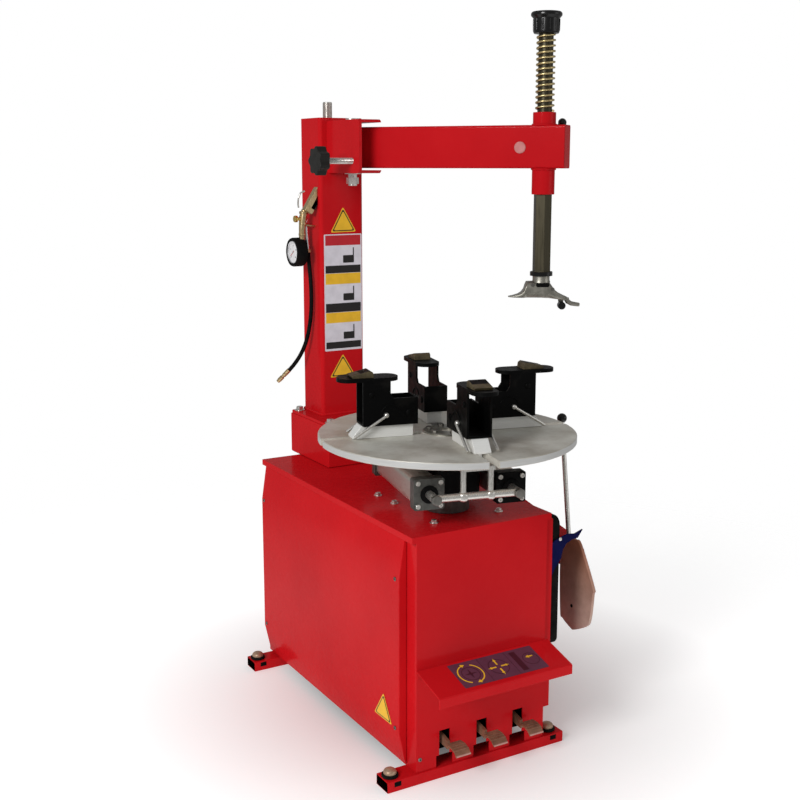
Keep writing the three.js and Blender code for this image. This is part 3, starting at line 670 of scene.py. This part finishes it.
def column_details():
    """Weld bead round the column's foot, thread on its stud and washers at the arm's pivot."""
    path = [(x, y, 724) for x, y in rounded(68, 61.5, 11, *COLUMN_CENTRE)]
    put("column_weld", sweep(path, 4.2, 10, closed=True), CABINET, RED, "machine", "red_paint")
    stud = thread(12.4, 13.4, 1548.3, 1593, 2.0)
    put("stud_thread", stud, CABINET @ shift(25, 418, 0), BRIGHT, "machine", "steel",
        stands_for=("top_stud",))
    washer = ring(12.6, 22, 1397.4, 1399.6)
    put("pivot_washer", washer, CABINET @ shift(*ARM_PIVOT, 0), BRIGHT, "machine", "steel")
    screw = thread(7.2, 8.0, -111, -6.5, 2.0)
    put("stop_screw_thread", screw, CABINET @ shift(0, 200, 1432) @ Z_TO_X, BRIGHT, "stop_screw", "steel",
        stands_for=("stop_screw",))


def thread(core, crest, low, high, pitch):
    """A round bar with ridges one pitch apart and a chamfer at each end."""
    profile = [(0, low), (core - 1, low), (core, low + 1)]
    z = low + 1
    while z < high - pitch - 1:
        for radius, step in ((core, 0), (crest, 0.35), (crest, 0.5), (core, 0.85)):
            profile.append((radius, z + step * pitch))
        z += pitch
    return lathe(profile + [(core, high - 1), (core - 1, high), (0, high)], 40)


# -------- plain decals, with no lettering
def decal(name, points, plane, material, lift=0.0):
    """A thin film with the given outline on a plane, standing a little off the layer below."""
    put(name, prism(points, lift, lift + 0.25), plane, material, "machine", "black_plastic")


def band_points(x, y, outer, inner, start, end, steps=24):
    """Part of a ring, from one angle to another."""
    return arc(x, y, outer, start, end, steps) + list(reversed(arc(x, y, inner, start, end, steps)))


def turned_points(points, x, y, degrees):
    """An outline turned about its own origin and then moved to (x, y)."""
    turn = shift(x, y, 0) @ spin(degrees)
    return [tuple((turn @ Vector((px, py, 0))).xy) for px, py in points]


def hazard_triangle(name, apex, low_left, low_right, plane):
    """A plain yellow triangle with a black line inside its edge."""
    centre = (Vector(apex) + Vector(low_left) + Vector(low_right)) / 3
    for layer, (size, material) in enumerate(((1.0, YELLOW_FILM), (0.88, BLACK_FILM), (0.76, YELLOW_FILM))):
        corners = [centre + (Vector(p) - centre) * size for p in (low_left, low_right, apex)]
        points = []
        for i, corner in enumerate(corners):
            before = (corners[i - 1] - corner).normalized()
            after = (corners[(i + 1) % 3] - corner).normalized()
            points += [tuple(corner + away) for away in (before * 5, (before + after) * 1.3, after * 5)]
        decal(f"{name}_{layer}", points, plane, material, 0.3 * layer)


def column_decals():
    """The plain panel and triangles on the column, and the triangle on the left cover."""
    plane = CABINET @ shift(0, COLUMN_FACE, 0) @ Z_TO_FRONT
    decal("panel_base", rounded(59, 163.5, 3, 33, 1068.5), plane, WHITE_FILM)
    bands = (
        ("red", RED_FILM, 1201, 1229), ("dark_0", BLACK_FILM, 1124, 1145),
        ("yellow_0", YELLOW_FILM, 1093, 1123), ("dark_1", BLACK_FILM, 1014, 1039),
        ("yellow_1", YELLOW_FILM, 984, 1013), ("dark_2", BLACK_FILM, 911, 930),
    )
    for name, material, low, high in bands:
        decal(f"panel_{name}", rectangle(-22, 88, low, high), plane, material, 0.3)
    for i, (low, high) in enumerate(((1152, 1194), (1046, 1086), (937, 977))):
        quarter = (high - low) / 4
        decal(f"panel_block_{i}", rounded(17, quarter, 2, 50, low + quarter), plane, BLACK_FILM, 0.3)
        decal(f"panel_post_{i}", rectangle(64, 67, low, high), plane, BLACK_FILM, 0.6)
    hazard_triangle("triangle_top", (34, 1307), (-5, 1237), (75, 1238), plane)
    hazard_triangle("triangle_low", (30, 894), (-11, 829), (69, 830), plane)
    side = CABINET @ shift(-COVER_X - 0.2, 0, 0) @ spin(-90) @ Z_TO_FRONT
    hazard_triangle("triangle_cover", (300, 186), (256, 121), (340, 121), side)


def hood_decal():
    """The pedal key on the hood, in three cells: turn, clamp and press, on a purple-grey ground."""
    slope = math.atan2(281 - 253.5, 514 - 415.3)
    plane = CABINET @ shift(0, -415.3, 281.2) @ Matrix.Rotation(slope, 4, "X") @ shift(0, 0, 0.1)
    decal("hood_ground", rounded(118, 42, 2, 12, -50), plane, PURPLE_FILM)
    for i, x in enumerate((-26, 50)):
        decal(f"hood_line_{i}", rectangle(x - 0.4, x + 0.4, -90, -10), plane, DEEP_FILM, 0.3)
    turn_x, clamp_x, press_x, middle = -66, 12, 105, -51
    for tag, start in (("left", 105), ("right", -75)):
        sweep_points = band_points(turn_x, middle, 33, 30, start, start + 140)
        decal(f"hood_arc_{tag}", sweep_points, plane, YELLOW_FILM, 0.3)
        head = turned_points(((31.5, -6), (37, 4), (26, 4)), turn_x, middle, start - 5)
        decal(f"hood_arc_head_{tag}", head, plane, YELLOW_FILM, 0.6)
    for i in range(4):
        spoke = turned_points(((0, -3), (17, 0), (0, 3)), turn_x, middle, 90 * i)
        decal(f"hood_spoke_{i}", spoke, plane, DEEP_FILM, 0.3 + 0.3 * (i % 2))
        arrow = ((7, -2), (20, -2), (20, -4), (29, 0), (20, 4), (20, 2), (7, 2))
        decal(f"hood_clamp_{i}", turned_points(arrow, clamp_x, middle, 90 * i), plane, YELLOW_FILM, 0.3)
    for tag, x, outer, inner, lift in (
            ("disc", turn_x, 23, 21.5, 0.3), ("clamp_disc", clamp_x, 26, 24.8, 0.6),
            ("press_disc", press_x, 21, 19.8, 0.3)):
        decal(f"hood_{tag}", band_points(x, middle, outer, inner, 0, 358), plane, DEEP_FILM, lift)
    decal("hood_bar", rectangle(62, 78, -84, -16), plane, DEEP_FILM, 0.3)
    arrow = ((9, -2), (-2, -2), (-2, -5), (-11, 0), (-2, 5), (-2, 2), (9, 2))
    decal("hood_press_arrow", [(press_x + x, middle + 8 + y) for x, y in arrow], plane, YELLOW_FILM, 0.6)


# -------- turntable and jaws
def jaw_details(name):
    """Serrated steel grip, link rods beside the carrier, and the bosses on its plates."""
    body = f"{name}_jaw_carriage"
    jaw = JAWS[name]
    teeth = []
    first_tooth, pitch, half_width = 199, 4.6, 19.5
    for i in range(9):
        r = first_tooth + pitch * i
        top = 951.4 - (r - 196) * 10 / 44
        outline = [(r - 2.0, top - 4), (r + 2.0, top - 4), (r + 1.4, top - 0.6), (r, top + 0.5)]
        teeth.append(moved(prism(outline, -half_width, half_width), Z_TO_FRONT))
    put(f"{name}_grip_teeth", joined(*teeth), jaw, GRIP_STEEL, body, "dark_steel")
    outline = [(188, 934.8), (238, 934.8), (243, 941.5), (196, 951.8), (190, 948)]
    insert = prism(outline, -21.5, 21.5)
    put(f"{name}_grip_block", insert, jaw @ Z_TO_FRONT, GRIP_STEEL, body, "dark_steel", bevel=0.8)
    for side in (-1, 1):
        y = side * 35.5
        rod = sweep([(240, y, 798), (228, y, 806), (164, y, 845)], 3.4, 16)
        put(f"{name}_link_rod_{side + 1}", rod, jaw, BRIGHT, body, "steel", bevel=0.4)
        for tag, r, z, size, height, material in (
                ("pin", 161, 847, 6.5, 8.5, BRIGHT), ("pivot", 104, 850, 8.5, 3.5, BLACK_COAT),
                ("stud", 196, 897, 7.0, 3.5, BLACK_COAT)):
            local = jaw @ shift(r, side * 30, z) @ spin(-90 * side, "X")
            put(f"{name}_{tag}_{side + 1}", dome(size, height), local, material, body, "steel")
        arch = [(r, side * 30.4, z) for r, z in arc(148, 846, 26, 20, 150, 18)]
        put(f"{name}_web_{side + 1}", sweep(arch, 1.6, 10), jaw, BLACK_COAT, body, "black_paint")
    for i, r in enumerate((112, 128)):
        socket = lathe([(4.2, 0), (8, 0), (8, 5.2), (7.4, 6), (4.2, 6), (4.2, 2), (0, 2), (0, 0)], 32)
        put(f"{name}_slide_bolt_{i}", socket, jaw @ shift(r, 0, 822), BRIGHT, body, "steel")


def turntable_details():
    """A raised hub ring with screws, the turned rim between the slots, a black housing below standing
    partly for shade.
    """
    # The housing's black is partly painted shade: it fills the deep shade under the table.
    housing = joined(prism(rounded(80, 58, 14, -3), 654, 760), prism(rounded(83, 60, 16, -3), 752, 771))
    put("turntable_shade_housing", housing, JAWS["rear"], BLACK_COAT, "turntable", "black_paint",
        bevel=2.5, segments=3)
    hub = lathe([(16, 0), (58, 0), (58, 3), (56.8, 4.2), (17.2, 4.2), (16, 3), (16, 0)], 64)
    put("hub_ring", hub, TABLE @ shift(0, 0, TABLE_TOP), CAST, "turntable", "cast_iron")
    for i in range(6):
        local = TABLE @ spin(60 * i + 17) @ shift(44, 0, TABLE_TOP + 4.2)
        put(f"hub_screw_{i}", hex_bolt(13, 6), local, SCREW_STEEL, "turntable", "steel", bevel=0.2)
    for name, jaw in JAWS.items():
        rim = prism(band_points(0, 0, TABLE_RADIUS + 0.5, TABLE_RADIUS - 0.6, 2.4, 87.6, 40), 776.4, 789.8)
        put(f"turned_rim_{name}", rim, jaw, RIM_STEEL, "turntable", "cast_iron")


def clamp_cylinder(name, side, block_material):
    """A drawn barrel between two end blocks held by tie screws, carried on a bracket."""
    jaw = JAWS["rear"]
    body = "rear_jaw_carriage"
    local = jaw @ shift(0, side * CLAMP_Y, CLAMP_Z)
    barrel = moved(prism(rounded(32, 32, 13), -138, 157), Z_TO_X)
    put(f"{name}_barrel", barrel, local, DRAWN_ALUMINIUM, body, "aluminium", bevel=0.5,
        stands_for=(f"{name}_clamp_cylinder",))
    for tag, low, high in (("rod_block", -165, -137), ("end_block", 156, 180)):
        block = moved(prism(rounded(37, 37, 6), low, high), Z_TO_X)
        put(f"{name}_{tag}", block, local, block_material, body, "black_paint", bevel=1.2)
    for i, (y, z) in enumerate(((27, 27), (-27, 27), (27, -27), (-27, -27))):
        for tag, x, turn in (("front", -165, Z_TO_LEFT), ("back", 180, Z_TO_X)):
            socket = lathe([(2.6, 0), (5.6, 0), (5.6, 3.4), (5, 4), (2.6, 4), (2.6, 1), (0, 1), (0, 0)], 28)
            put(f"{name}_tie_{tag}_{i}", socket, local @ shift(x, y, z) @ turn, BRIGHT, body, "steel")
    # A near-black ring at the rod: painted shade for the dark bore of the end block.
    bush = lathe([(10.6, 0), (21, 0), (21, 2), (20, 3), (10.6, 3), (10.6, 0)], 48)
    put(f"{name}_rod_bush", bush, local @ shift(-165, 0, 0) @ Z_TO_LEFT, SHADE_BORE, body, "black_plastic")
    fitting = joined(
        lathe([(0, 0), (7.5, 0), (7.5, 6), (5.4, 7), (5.4, 15), (0, 15)], 6),
        sweep([(0, 0, 12), (0, 0, 18), (0, -side * 6, 22), (0, -side * 16, 22)], 4.6, 20))
    put(f"{name}_fitting", fitting, local @ shift(150, 0, 31), YELLOW_BRASS, body, "brass", bevel=0.3)
    bracket = joined(
        box(95, 125, *sorted((side * -88, 0)), 28, 44),
        box(95, 125, *sorted((side * -88, side * -70)), 28, 68.7))
    put(f"{name}_bracket", bracket, local, CAST, body, "cast_iron", bevel=1.5)


def crossbar_details():
    """Round collars where the two links meet the crossbar, and a nut on each clamp rod."""
    jaw = JAWS["front"]
    body = "front_jaw_carriage"
    for i, y in enumerate((-33, 33)):
        local = jaw @ shift(205, y, CLAMP_Z)
        put(f"crossbar_collar_{i}", dome(12, 12), local, BRIGHT, body, "steel")
        put(f"crossbar_collar_low_{i}", dome(12, 12), local @ spin(180, "X"), BRIGHT, body, "steel")
    for i, side in enumerate((-1, 1)):
        local = jaw @ shift(211, side * CLAMP_Y, CLAMP_Z) @ Z_TO_X
        put(f"crossbar_nut_{i}", hex_bolt(22, 12), local, SCREW_STEEL, body, "steel", bevel=0.5)


# -------- arm, shaft and spring
def shaft_spring():
    """The open coil that lifts the shaft; the real coil is squashed as the shaft goes down, this one keeps
    one fixed shape.
    """
    turns, wire, radius = 14, 2.8, 21.7
    low = SPRING_BOTTOM + wire
    rise = SPRING_TOP - SPRING_BOTTOM - 2 * wire
    steps = turns * 28
    path = []
    for i in range(steps + 1):
        angle = math.tau * turns * i / steps
        path.append((radius * math.cos(angle), radius * math.sin(angle), low + rise * i / steps))
    coil = put("lift_spring", sweep(path, wire, 12), SHAFT, ZINC, "swing_arm", "zinc",
               stands_for=("shaft_spring",))
    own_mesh(coil)


def arm_details():
    """Plug in the arm's side, end plate, spring seats, collar on the shaft and the cap's flutes."""
    plug = lathe([(0, 0), (15, 0), (15, 1.0), (14, 1.8), (0, 1.8)], 48)
    put("arm_plug", plug, ARM @ shift(476, -30, 1465) @ Z_TO_FRONT, PLUG_GREY, "swing_arm", "steel")
    end = prism(rounded(27.5, 51, 5), 588, 590.6)
    local = ARM @ shift(0, 0, 1466.75) @ Z_TO_ARM
    put("arm_end_plate", end, local, RED, "swing_arm", "red_paint", bevel=0.6)
    for name, z in (("upper", 1520.5), ("lower", 1410.2)):
        bead = [(x, y, z + 1.0) for x, y in arc(0, 0, 29.5, 0, 352.5, 47)]
        put(f"sleeve_weld_{name}", sweep(bead, 2.6, 10, closed=True), SHAFT, RED, "swing_arm", "red_paint")
    collar = lathe([(27.1, 1141.4), (29, 1141.4), (29, 1151), (28, 1152), (27.1, 1152), (27.1, 1141.4)], 56)
    put("shaft_collar", collar, SHAFT, BLACK_GLOSS, "mounting_shaft", "black_plastic")
    seat = ring(18.8, 28, SPRING_TOP + 0.4, SPRING_TOP + 1.9)
    put("spring_seat", seat, SHAFT, BRIGHT, "mounting_shaft", "steel")
    for i in range(12):
        rib = sweep([(33, 0, 1750), (33.4, 0, 1765), (33.4, 0, 1777)], 1.6, 10)
        put(f"cap_rib_{i}", rib, SHAFT @ spin(30 * i), BLACK_GLOSS, "mounting_shaft", "black_plastic")


def head_section(x, half_width, low, high):
    """One rounded cross-section of the mounting head, in its Y and Z."""
    half_height = (high - low) / 2
    corner = min(half_width, half_height) * 0.7
    return [(x, y, z) for y, z in rounded(half_width, half_height, corner, 0, (low + high) / 2, 4)]


def mounting_head():
    """The duck-bill head: thin lifting wing, body with a hole shown as painted shade, roller nose and guide
    finger.
    """
    sections = (
        (-84, 7, 1086, 1088.4), (-72, 14, 1085.6, 1090), (-58, 19, 1085.4, 1094), (-50, 21, 1085.2, 1099.5),
        (-44, 22, 1085, 1108), (-41, 22, 1085, 1120), (-38, 22, 1085, 1127), (0, 23, 1084.6, 1128),
        (20, 23, 1083.6, 1126), (27, 22, 1083, 1116), (35, 21, 1082, 1105), (46, 19, 1080.6, 1096.5),
        (58, 17, 1079, 1090.5), (68, 14, 1077.6, 1086), (73, 10, 1076.8, 1081.6),
    )
    put("head_body", skin([head_section(*section) for section in sections]), HEAD, CAST,
        "mounting_shaft", "cast_iron", bevel=0.5, stands_for=("mount_head",))
    neck = lathe([(0, 1124), (24, 1124), (22, 1130), (22, 1141), (0, 1141)], 48)
    put("head_neck", neck, HEAD, CAST, "mounting_shaft", "cast_iron", bevel=0.6)
    path = [(66, 0, 1082), (70, 0, 1074), (79, 0, 1069), (91, 0, 1067), (99, 0, 1066), (101, 0, 1065.8)]
    finger = sweep(path, [7.0, 6.4, 5.8, 5.4, 5.0, 3.4], 20)
    put("head_finger", finger, HEAD, CAST, "mounting_shaft", "cast_iron")
    ear = prism(arc(54, 1064, 5, 180, 360, 16) + [(62, 1080), (46, 1080)], -15, -11.4)
    put("roller_ear", ear, HEAD @ Z_TO_FRONT, CAST, "mounting_shaft", "cast_iron", bevel=0.4)
    # The hole in the head's side is a thin near-black plate: painted shade.
    hole = prism(rounded(17, 5.5, 5, 2, 1119), 22.4, 23.3)
    put("head_recess", hole, HEAD @ Z_TO_FRONT, SHADE_BORE, "mounting_shaft", "black_plastic")
    for i, (x, z) in enumerate(((-24, 1119), (28, 1108))):
        set_screw = lathe([(2.5, 0), (4.5, 0), (4.5, 1), (2.5, 1), (2.5, 0.2), (0, 0.2), (0, 0)], 24)
        put(f"head_set_screw_{i}", set_screw, HEAD @ shift(x, -22.6, z) @ Z_TO_FRONT, SCREW_STEEL,
            "mounting_shaft", "steel")


# -------- pedals and bead breaker
def pedal_ridges():
    """Rubbed ridges across each tread and a bright front lip."""
    places = ((-433, 88.6), (-441, 88.9), (-449, 88.9), (-456, 87.2), (-463, 84.6))
    for name, x in (("rotation", -105), ("clamp", 0), ("breaker", 105)):
        ridges = [sweep([(x - 3, y, z), (x + 35, y, z)], 1.5, 10) for y, z in places]
        put(f"{name}_tread_ridges", joined(*ridges), CABINET, TREAD_STEEL, f"{name}_pedal", "steel")
        lip = sweep([(x - 3.5, -471.8, 74.2), (x + 35.5, -471.8, 74.2)], 2.2, 12)
        put(f"{name}_tread_lip", lip, CABINET, LIP_STEEL, f"{name}_pedal", "steel")


BLADE_OUTLINE = [
    (-339, 489), (-360, 480), (-414, 384), (-414, 366), (-406, 299), (-392, 275), (-345, 250),
    (-330, 250), (-297, 265), (-286, 282), (-281, 418), (-300, 462), (-325, 487),
]


def smooth_outline(points, steps=5):
    """A closed curve through the points, as a finer outline."""
    curve = []
    for i, start in enumerate(points):
        before, end, after = points[i - 1], points[(i + 1) % len(points)], points[(i + 2) % len(points)]
        for step in range(steps):
            t = step / steps
            curve.append(tuple(
                b + 0.5 * t * (c - a + t * (2 * a - 5 * b + 4 * c - d + t * (3 * (b - c) + d - a)))
                for a, b, c, d in zip(before, start, end, after)))
    return curve


def blade():
    """The breaker's shovel blade, with its lug and the upright pin it turns on."""
    outline = [(-z, y) for y, z in smooth_outline(BLADE_OUTLINE)]
    plate = moved(prism(outline, BLADE_INNER_FACE, BLADE_INNER_FACE + 8), Z_TO_X)
    lug = box(337, 372, -342, -302, 384, 399.7)
    pin = moved(disc(8, 390, BREAKER_LUG_TOP - 10), shift(*BLADE_PIN, 0))
    put("blade_plate", joined(plate, lug, pin), CABINET, BLADE_STEEL, "breaker_blade", "steel",
        bevel=1.8, segments=3, stands_for=("breaker_blade",))


def breaker_details():
    """The ball on the pull rod, the blade's hole as a near-black disc of painted shade, the guard's rivet
    and the two pivot bolts.
    """
    radius = 13
    ball = lathe([(0, -radius)] + [(r, z) for z, r in arc(0, 0, radius, 172, 8, 18)] + [(0, radius)], 40)
    put("breaker_knob", ball, CABINET @ shift(400, -185, 767), BLACK_GLOSS, "breaker_arm", "black_plastic")
    # The blade's hole is a thin near-black disc: painted shade.
    local = CABINET @ shift(BLADE_INNER_FACE, -333, 311) @ Z_TO_LEFT
    put("blade_hole", disc(4.5, 0, 0.3, 28), local, SHADE_BORE, "breaker_blade", "black_plastic")
    local = CABINET @ shift(228, -408.5, 527) @ Z_TO_FRONT
    put("guard_rivet", dome(4.6, 3), local, BRIGHT, "machine", "steel")
    local = CABINET @ shift(*BLADE_PIN, BREAKER_LUG_TOP)
    put("blade_pin_head", hex_bolt(22, 9, 15), local, SCREW_STEEL, "breaker_arm", "steel", bevel=0.4)
    local = CABINET @ shift(245, 372, 540)
    put("breaker_pivot_head", hex_bolt(27, 11, 17), local, BRIGHT, "machine", "steel", bevel=0.4)


# -------- inflator gun and gauge
def add_to_gun(name, bm, local=CABINET, material=BRASS, slot="brass", **more):
    """put() for a piece that rides on the air gun."""
    put(name, bm, local, material, "air_gun", slot, **more)


def inflator_gun():
    """Cast body with an angled grip, a trigger hook, a side valve and a plated outlet tube."""
    lean = spin(32, "Y")
    grip = moved(prism(rounded(13, 38, 5), -11, 11), shift(-45, 372, 1325) @ lean @ Z_TO_FRONT)
    add_to_gun("gun_grip", grip, bevel=2.0, stands_for=("inflator_gun",))
    inlay = moved(prism(rounded(7, 31, 4), -13, 13), shift(-36, 374, 1327) @ lean @ Z_TO_FRONT)
    add_to_gun("gun_grip_inlay", inlay, CABINET, BLACK_GLOSS, "black_plastic", bevel=1.2)
    path = [(-66, 382, 1300), (-70, 386, 1280), (-72, 388, 1250), (-73, 390, 1215)]
    add_to_gun("gun_body", sweep(path, [9, 11, 9.5, 8], 28), bevel=0.8)
    tube = lathe([(0, 0), (5.6, 0), (5.6, 82), (7.4, 84), (7.4, 94), (6.2, 96), (6.2, 106), (0, 106)], 36)
    local = CABINET @ shift(-53, 391.5, 1181.6) @ spin(-5, "Y")
    add_to_gun("gun_outlet_tube", tube, local, CHROME, "steel")
    for i, z in enumerate((1292, 1262, 1232)):
        band = lathe([(0, -4), (10.5 - i, -4), (12 - i, -2.5), (12 - i, 2.5), (10.5 - i, 4), (0, 4)], 40)
        add_to_gun(f"gun_band_{i}", band, CABINET @ shift(-69 - 1.5 * i, 385 + 2 * i, z))
    knob = lathe([(0, 0), (4.6, 0), (4.6, 9), (8.6, 10), (9.4, 12), (9.4, 17), (8.4, 19), (0, 19)], 20)
    local = CABINET @ shift(-78, 386, 1275) @ Z_TO_LEFT
    add_to_gun("gun_valve_knob", knob, local, YELLOW_BRASS, bevel=0.5)
    path = [(-64, 384, 1258), (-50, 382, 1256), (-38, 380, 1254), (-28, 380, 1257)]
    add_to_gun("gun_spur", sweep(path, [4, 3.4, 3, 2.2], 16))
    path = [(-71, 372, 1351), (-83, 373, 1346), (-89, 375, 1330), (-89, 377, 1315), (-87, 378, 1306)]
    put("gun_trigger_hook", sweep(path, 2.3, 14), CABINET, BRIGHT, "gun_trigger", "steel",
        stands_for=("gun_trigger",))
    nut = lathe([(0, 0), (9.2, 0), (9.2, 8), (8, 9.5), (0, 9.5)], 6)
    add_to_gun("gun_hose_nut", nut, CABINET @ shift(-53, 392, 1181.6), bevel=0.4)


def pressure_gauge():
    """A dial in a thick rubber boot, with a plated bezel, scale marks, numbers and a needle."""
    local = CABINET @ shift(0, 400, 1183) @ Z_TO_LEFT @ spin(-90)
    boot = lathe([(0, 64.6), (34, 64.6), (38, 67), (40, 72), (40, 95), (38.5, 99), (34.5, 100), (31.5, 98),
                  (31.5, 94), (0, 94)], 80)
    add_to_gun("gauge_boot", boot, local, RUBBER, "rubber", stands_for=("pressure_gauge",))
    bezel = lathe([(28.6, 94.2), (31.6, 94.2), (31.6, 97.6), (30.4, 98.6), (28.8, 97.2), (28.6, 94.2)], 80)
    add_to_gun("gauge_bezel", bezel, local, CHROME, "steel")
    add_to_gun("gauge_dial", disc(28.7, 94.2, 94.8, 72), local, DIAL_WHITE, "black_plastic")
    first_mark, last_mark = 225, -45
    swing = last_mark - first_mark
    marks = []
    for i in range(33):
        inner = 24.5 if i % 4 else 22.5
        marks.append(moved(box(inner, 27, -0.35, 0.35, 94.8, 95.0), spin(first_mark + swing * i / 32)))
    add_to_gun("gauge_marks", joined(*marks), local, BLACK_FILM, "black_plastic")
    for i in range(5):
        angle = math.radians(first_mark + swing * i / 4)
        number = bpy.data.curves.new(f"gauge_number_{i}", "FONT")
        number.body = str(4 * i)
        number.size = 0.0065
        number.align_x = "CENTER"
        number.align_y = "CENTER"
        number.extrude = 0.0001
        number.materials.append(BLACK_FILM)
        piece = add_object(f"gauge_number_{i}", number)
        spot = shift(18.5 * math.cos(angle), 18.5 * math.sin(angle), 95)
        piece.matrix_world = local @ spot @ Matrix.Scale(1000, 4)
        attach(piece, "air_gun")
    needle = prism([(-6, -0.9), (22, -0.25), (22, 0.25), (-6, 0.9)], 95.4, 96)
    add_to_gun("gauge_needle", needle, local @ spin(215), RED_FILM, "black_plastic")
    hub = lathe([(0, 94.8), (2.6, 94.8), (2.2, 97), (0, 97)], 28)
    add_to_gun("gauge_hub", hub, local, BRIGHT, "steel")
    add_to_gun("gauge_stem", sweep([(-62, 397, 1200), (-66, 398, 1190)], 6, 16))


cabinet_hardware()
base_shade_pan()
left_cover()
column_details()
column_decals()
hood_decal()
for jaw_name in JAW_ANGLES:
    jaw_details(jaw_name)
turntable_details()
clamp_cylinder("left", 1, BLOCK_GREY)
# The right cylinder's end blocks are black where the left's are grey: painted shade for the shade under the
# table.
clamp_cylinder("right", -1, BLACK_COAT)
crossbar_details()
shaft_spring()
arm_details()
mounting_head()
pedal_ridges()
blade()
breaker_details()
inflator_gun()
pressure_gauge()

# -------- CAD nodes that keep their shape
EDGES = {
    "cabinet_shell": 1.6, "right_cover": 3.0, "front_foot": 1.6, "rear_foot": 1.6,
    "pedal_hood": 0.8, "column_box": 3.5, "column_base_plate": 1.2, "column": 1.2, "arm_bracket": 2.5,
    "swing_arm": 1.0, "arm_sleeve": 1.2, "breaker_arm": 3.0, "breaker_hinge": 1.5,
}
for node, edge in EDGES.items():
    finish_node(node, RED, edge, 3)
for name in JAW_ANGLES:
    finish_node(f"{name}_jaw", BLACK_COAT, 0.9)
    finish_node(f"{name}_jaw_slide", SLIDE_STEEL, 0.8)
KEPT = {
    "wheel_pad": (RUBBER, 2.5), "pivot_bolt": (BRIGHT, 0.6), "pivot_nut": (BRIGHT, 0.8),
    "gearbox": (CAST, 3.0), "motor": (GREY_PAINT, 2.0), "gearbox_pulley": (CAST, 0.8),
    "motor_pulley": (CAST, 0.8), "drive_belt": (RUBBER, 0.8), "pedal_shaft": (BRIGHT, 0.8),
    "valve_block": (DRAWN_ALUMINIUM, 1.0), "rotation_pedal": (TREAD_STEEL, 0.8),
    "clamp_pedal": (TREAD_STEEL, 0.8), "breaker_pedal": (TREAD_STEEL, 0.8),
    "turntable_disc": (TABLE_GREY, 0.8), "turntable_spindle": (BLOCK_GREY, 1.0),
    "air_coupling": (BLOCK_GREY, 1.2),
    "clamp_crossbar": (BRIGHT, 0.8), "hex_shaft": (HEX_STEEL, 0.8), "lock_lever": (KNOB_BLACK, 0.8),
    "breaker_cylinder": (GREY_PAINT, 1.5), "breaker_rod": (BRIGHT, 0.8),
    "blade_guard": (BLUE, 0.8), "head_roller": (BLACK_GLOSS, 0.8),
    "stop_knob": (KNOB_BLACK, 1.6), "shaft_cap": (BLACK_GLOSS, 0.8),
    "breaker_grip": (BRIGHT, 0.5),
}
for node, (material, edge) in KEPT.items():
    finish_node(node, material, edge)


# -------- stage
def floor_material():
    """Pale paper that glows: no glow near the object as painted shade round and under it, more further out
    as painted light, fading into the white studio far out.
    """
    m = Material("floor", (0.86, 0.86, 0.86), 0.8, Emission_Color=(1, 1, 1, 1))
    distance = m.length(m.place)
    # Emission from 0 near the object up to 0.6 away from it: painted shade close by and a glowing floor
    # further out.
    m.links.new(m.span(distance, 0.0, 0.6, 0.1, 0.95), m.shader.inputs["Emission Strength"])
    m.links.new(m.span(distance, 1.0, 0.0, 1.1, 2.4), m.shader.inputs["Alpha"])
    return m.material


def make_stage():
    """A wide floor just under the feet."""
    bm = bmesh.new()
    bmesh.ops.create_grid(bm, x_segments=1, y_segments=1, size=4)
    mesh = bpy.data.meshes.new("floor")
    bm.to_mesh(mesh)
    bm.free()
    mesh.materials.append(floor_material())
    floor = add_object("floor", mesh)
    floor.location.z = -0.0005


def make_light(name, place, target, size, power):
    """A round lamp, in metres and watts, aimed at a point."""
    data = bpy.data.lights.new(name, "AREA")
    data.shape = "DISK"
    data.size = size
    data.energy = power
    lamp = add_object(name, data)
    lamp.location = place
    lamp.rotation_euler = (Vector(target) - Vector(place)).to_track_quat("-Z", "Y").to_euler()


def make_lights():
    """White studio seen by the camera, dimmer light from it on the object, and two lamps."""
    world = bpy.data.worlds.new("studio")
    world.use_nodes = True
    nodes = world.node_tree.nodes
    links = world.node_tree.links
    lighting = nodes["Background"]
    backdrop = nodes.new("ShaderNodeBackground")
    for node, strength in ((lighting, 0.36), (backdrop, 1.0)):
        node.inputs["Color"].default_value = (1, 1, 1, 1)
        node.inputs["Strength"].default_value = strength
    seen = nodes.new("ShaderNodeLightPath")
    mix = nodes.new("ShaderNodeMixShader")
    links.new(seen.outputs["Is Camera Ray"], mix.inputs["Fac"])
    links.new(lighting.outputs[0], mix.inputs[1])
    links.new(backdrop.outputs[0], mix.inputs[2])
    links.new(mix.outputs[0], nodes["World Output"].inputs["Surface"])
    bpy.context.scene.world = world
    make_light("key", (-3.6, -1.9, 2.6), (0, 0, 0.8), 1.6, 118)
    make_light("fill", (2.8, -3.0, 1.6), (0, 0, 0.7), 2.2, 14)
    bpy.context.scene.view_settings.view_transform = "Standard"


make_stage()
make_lights()
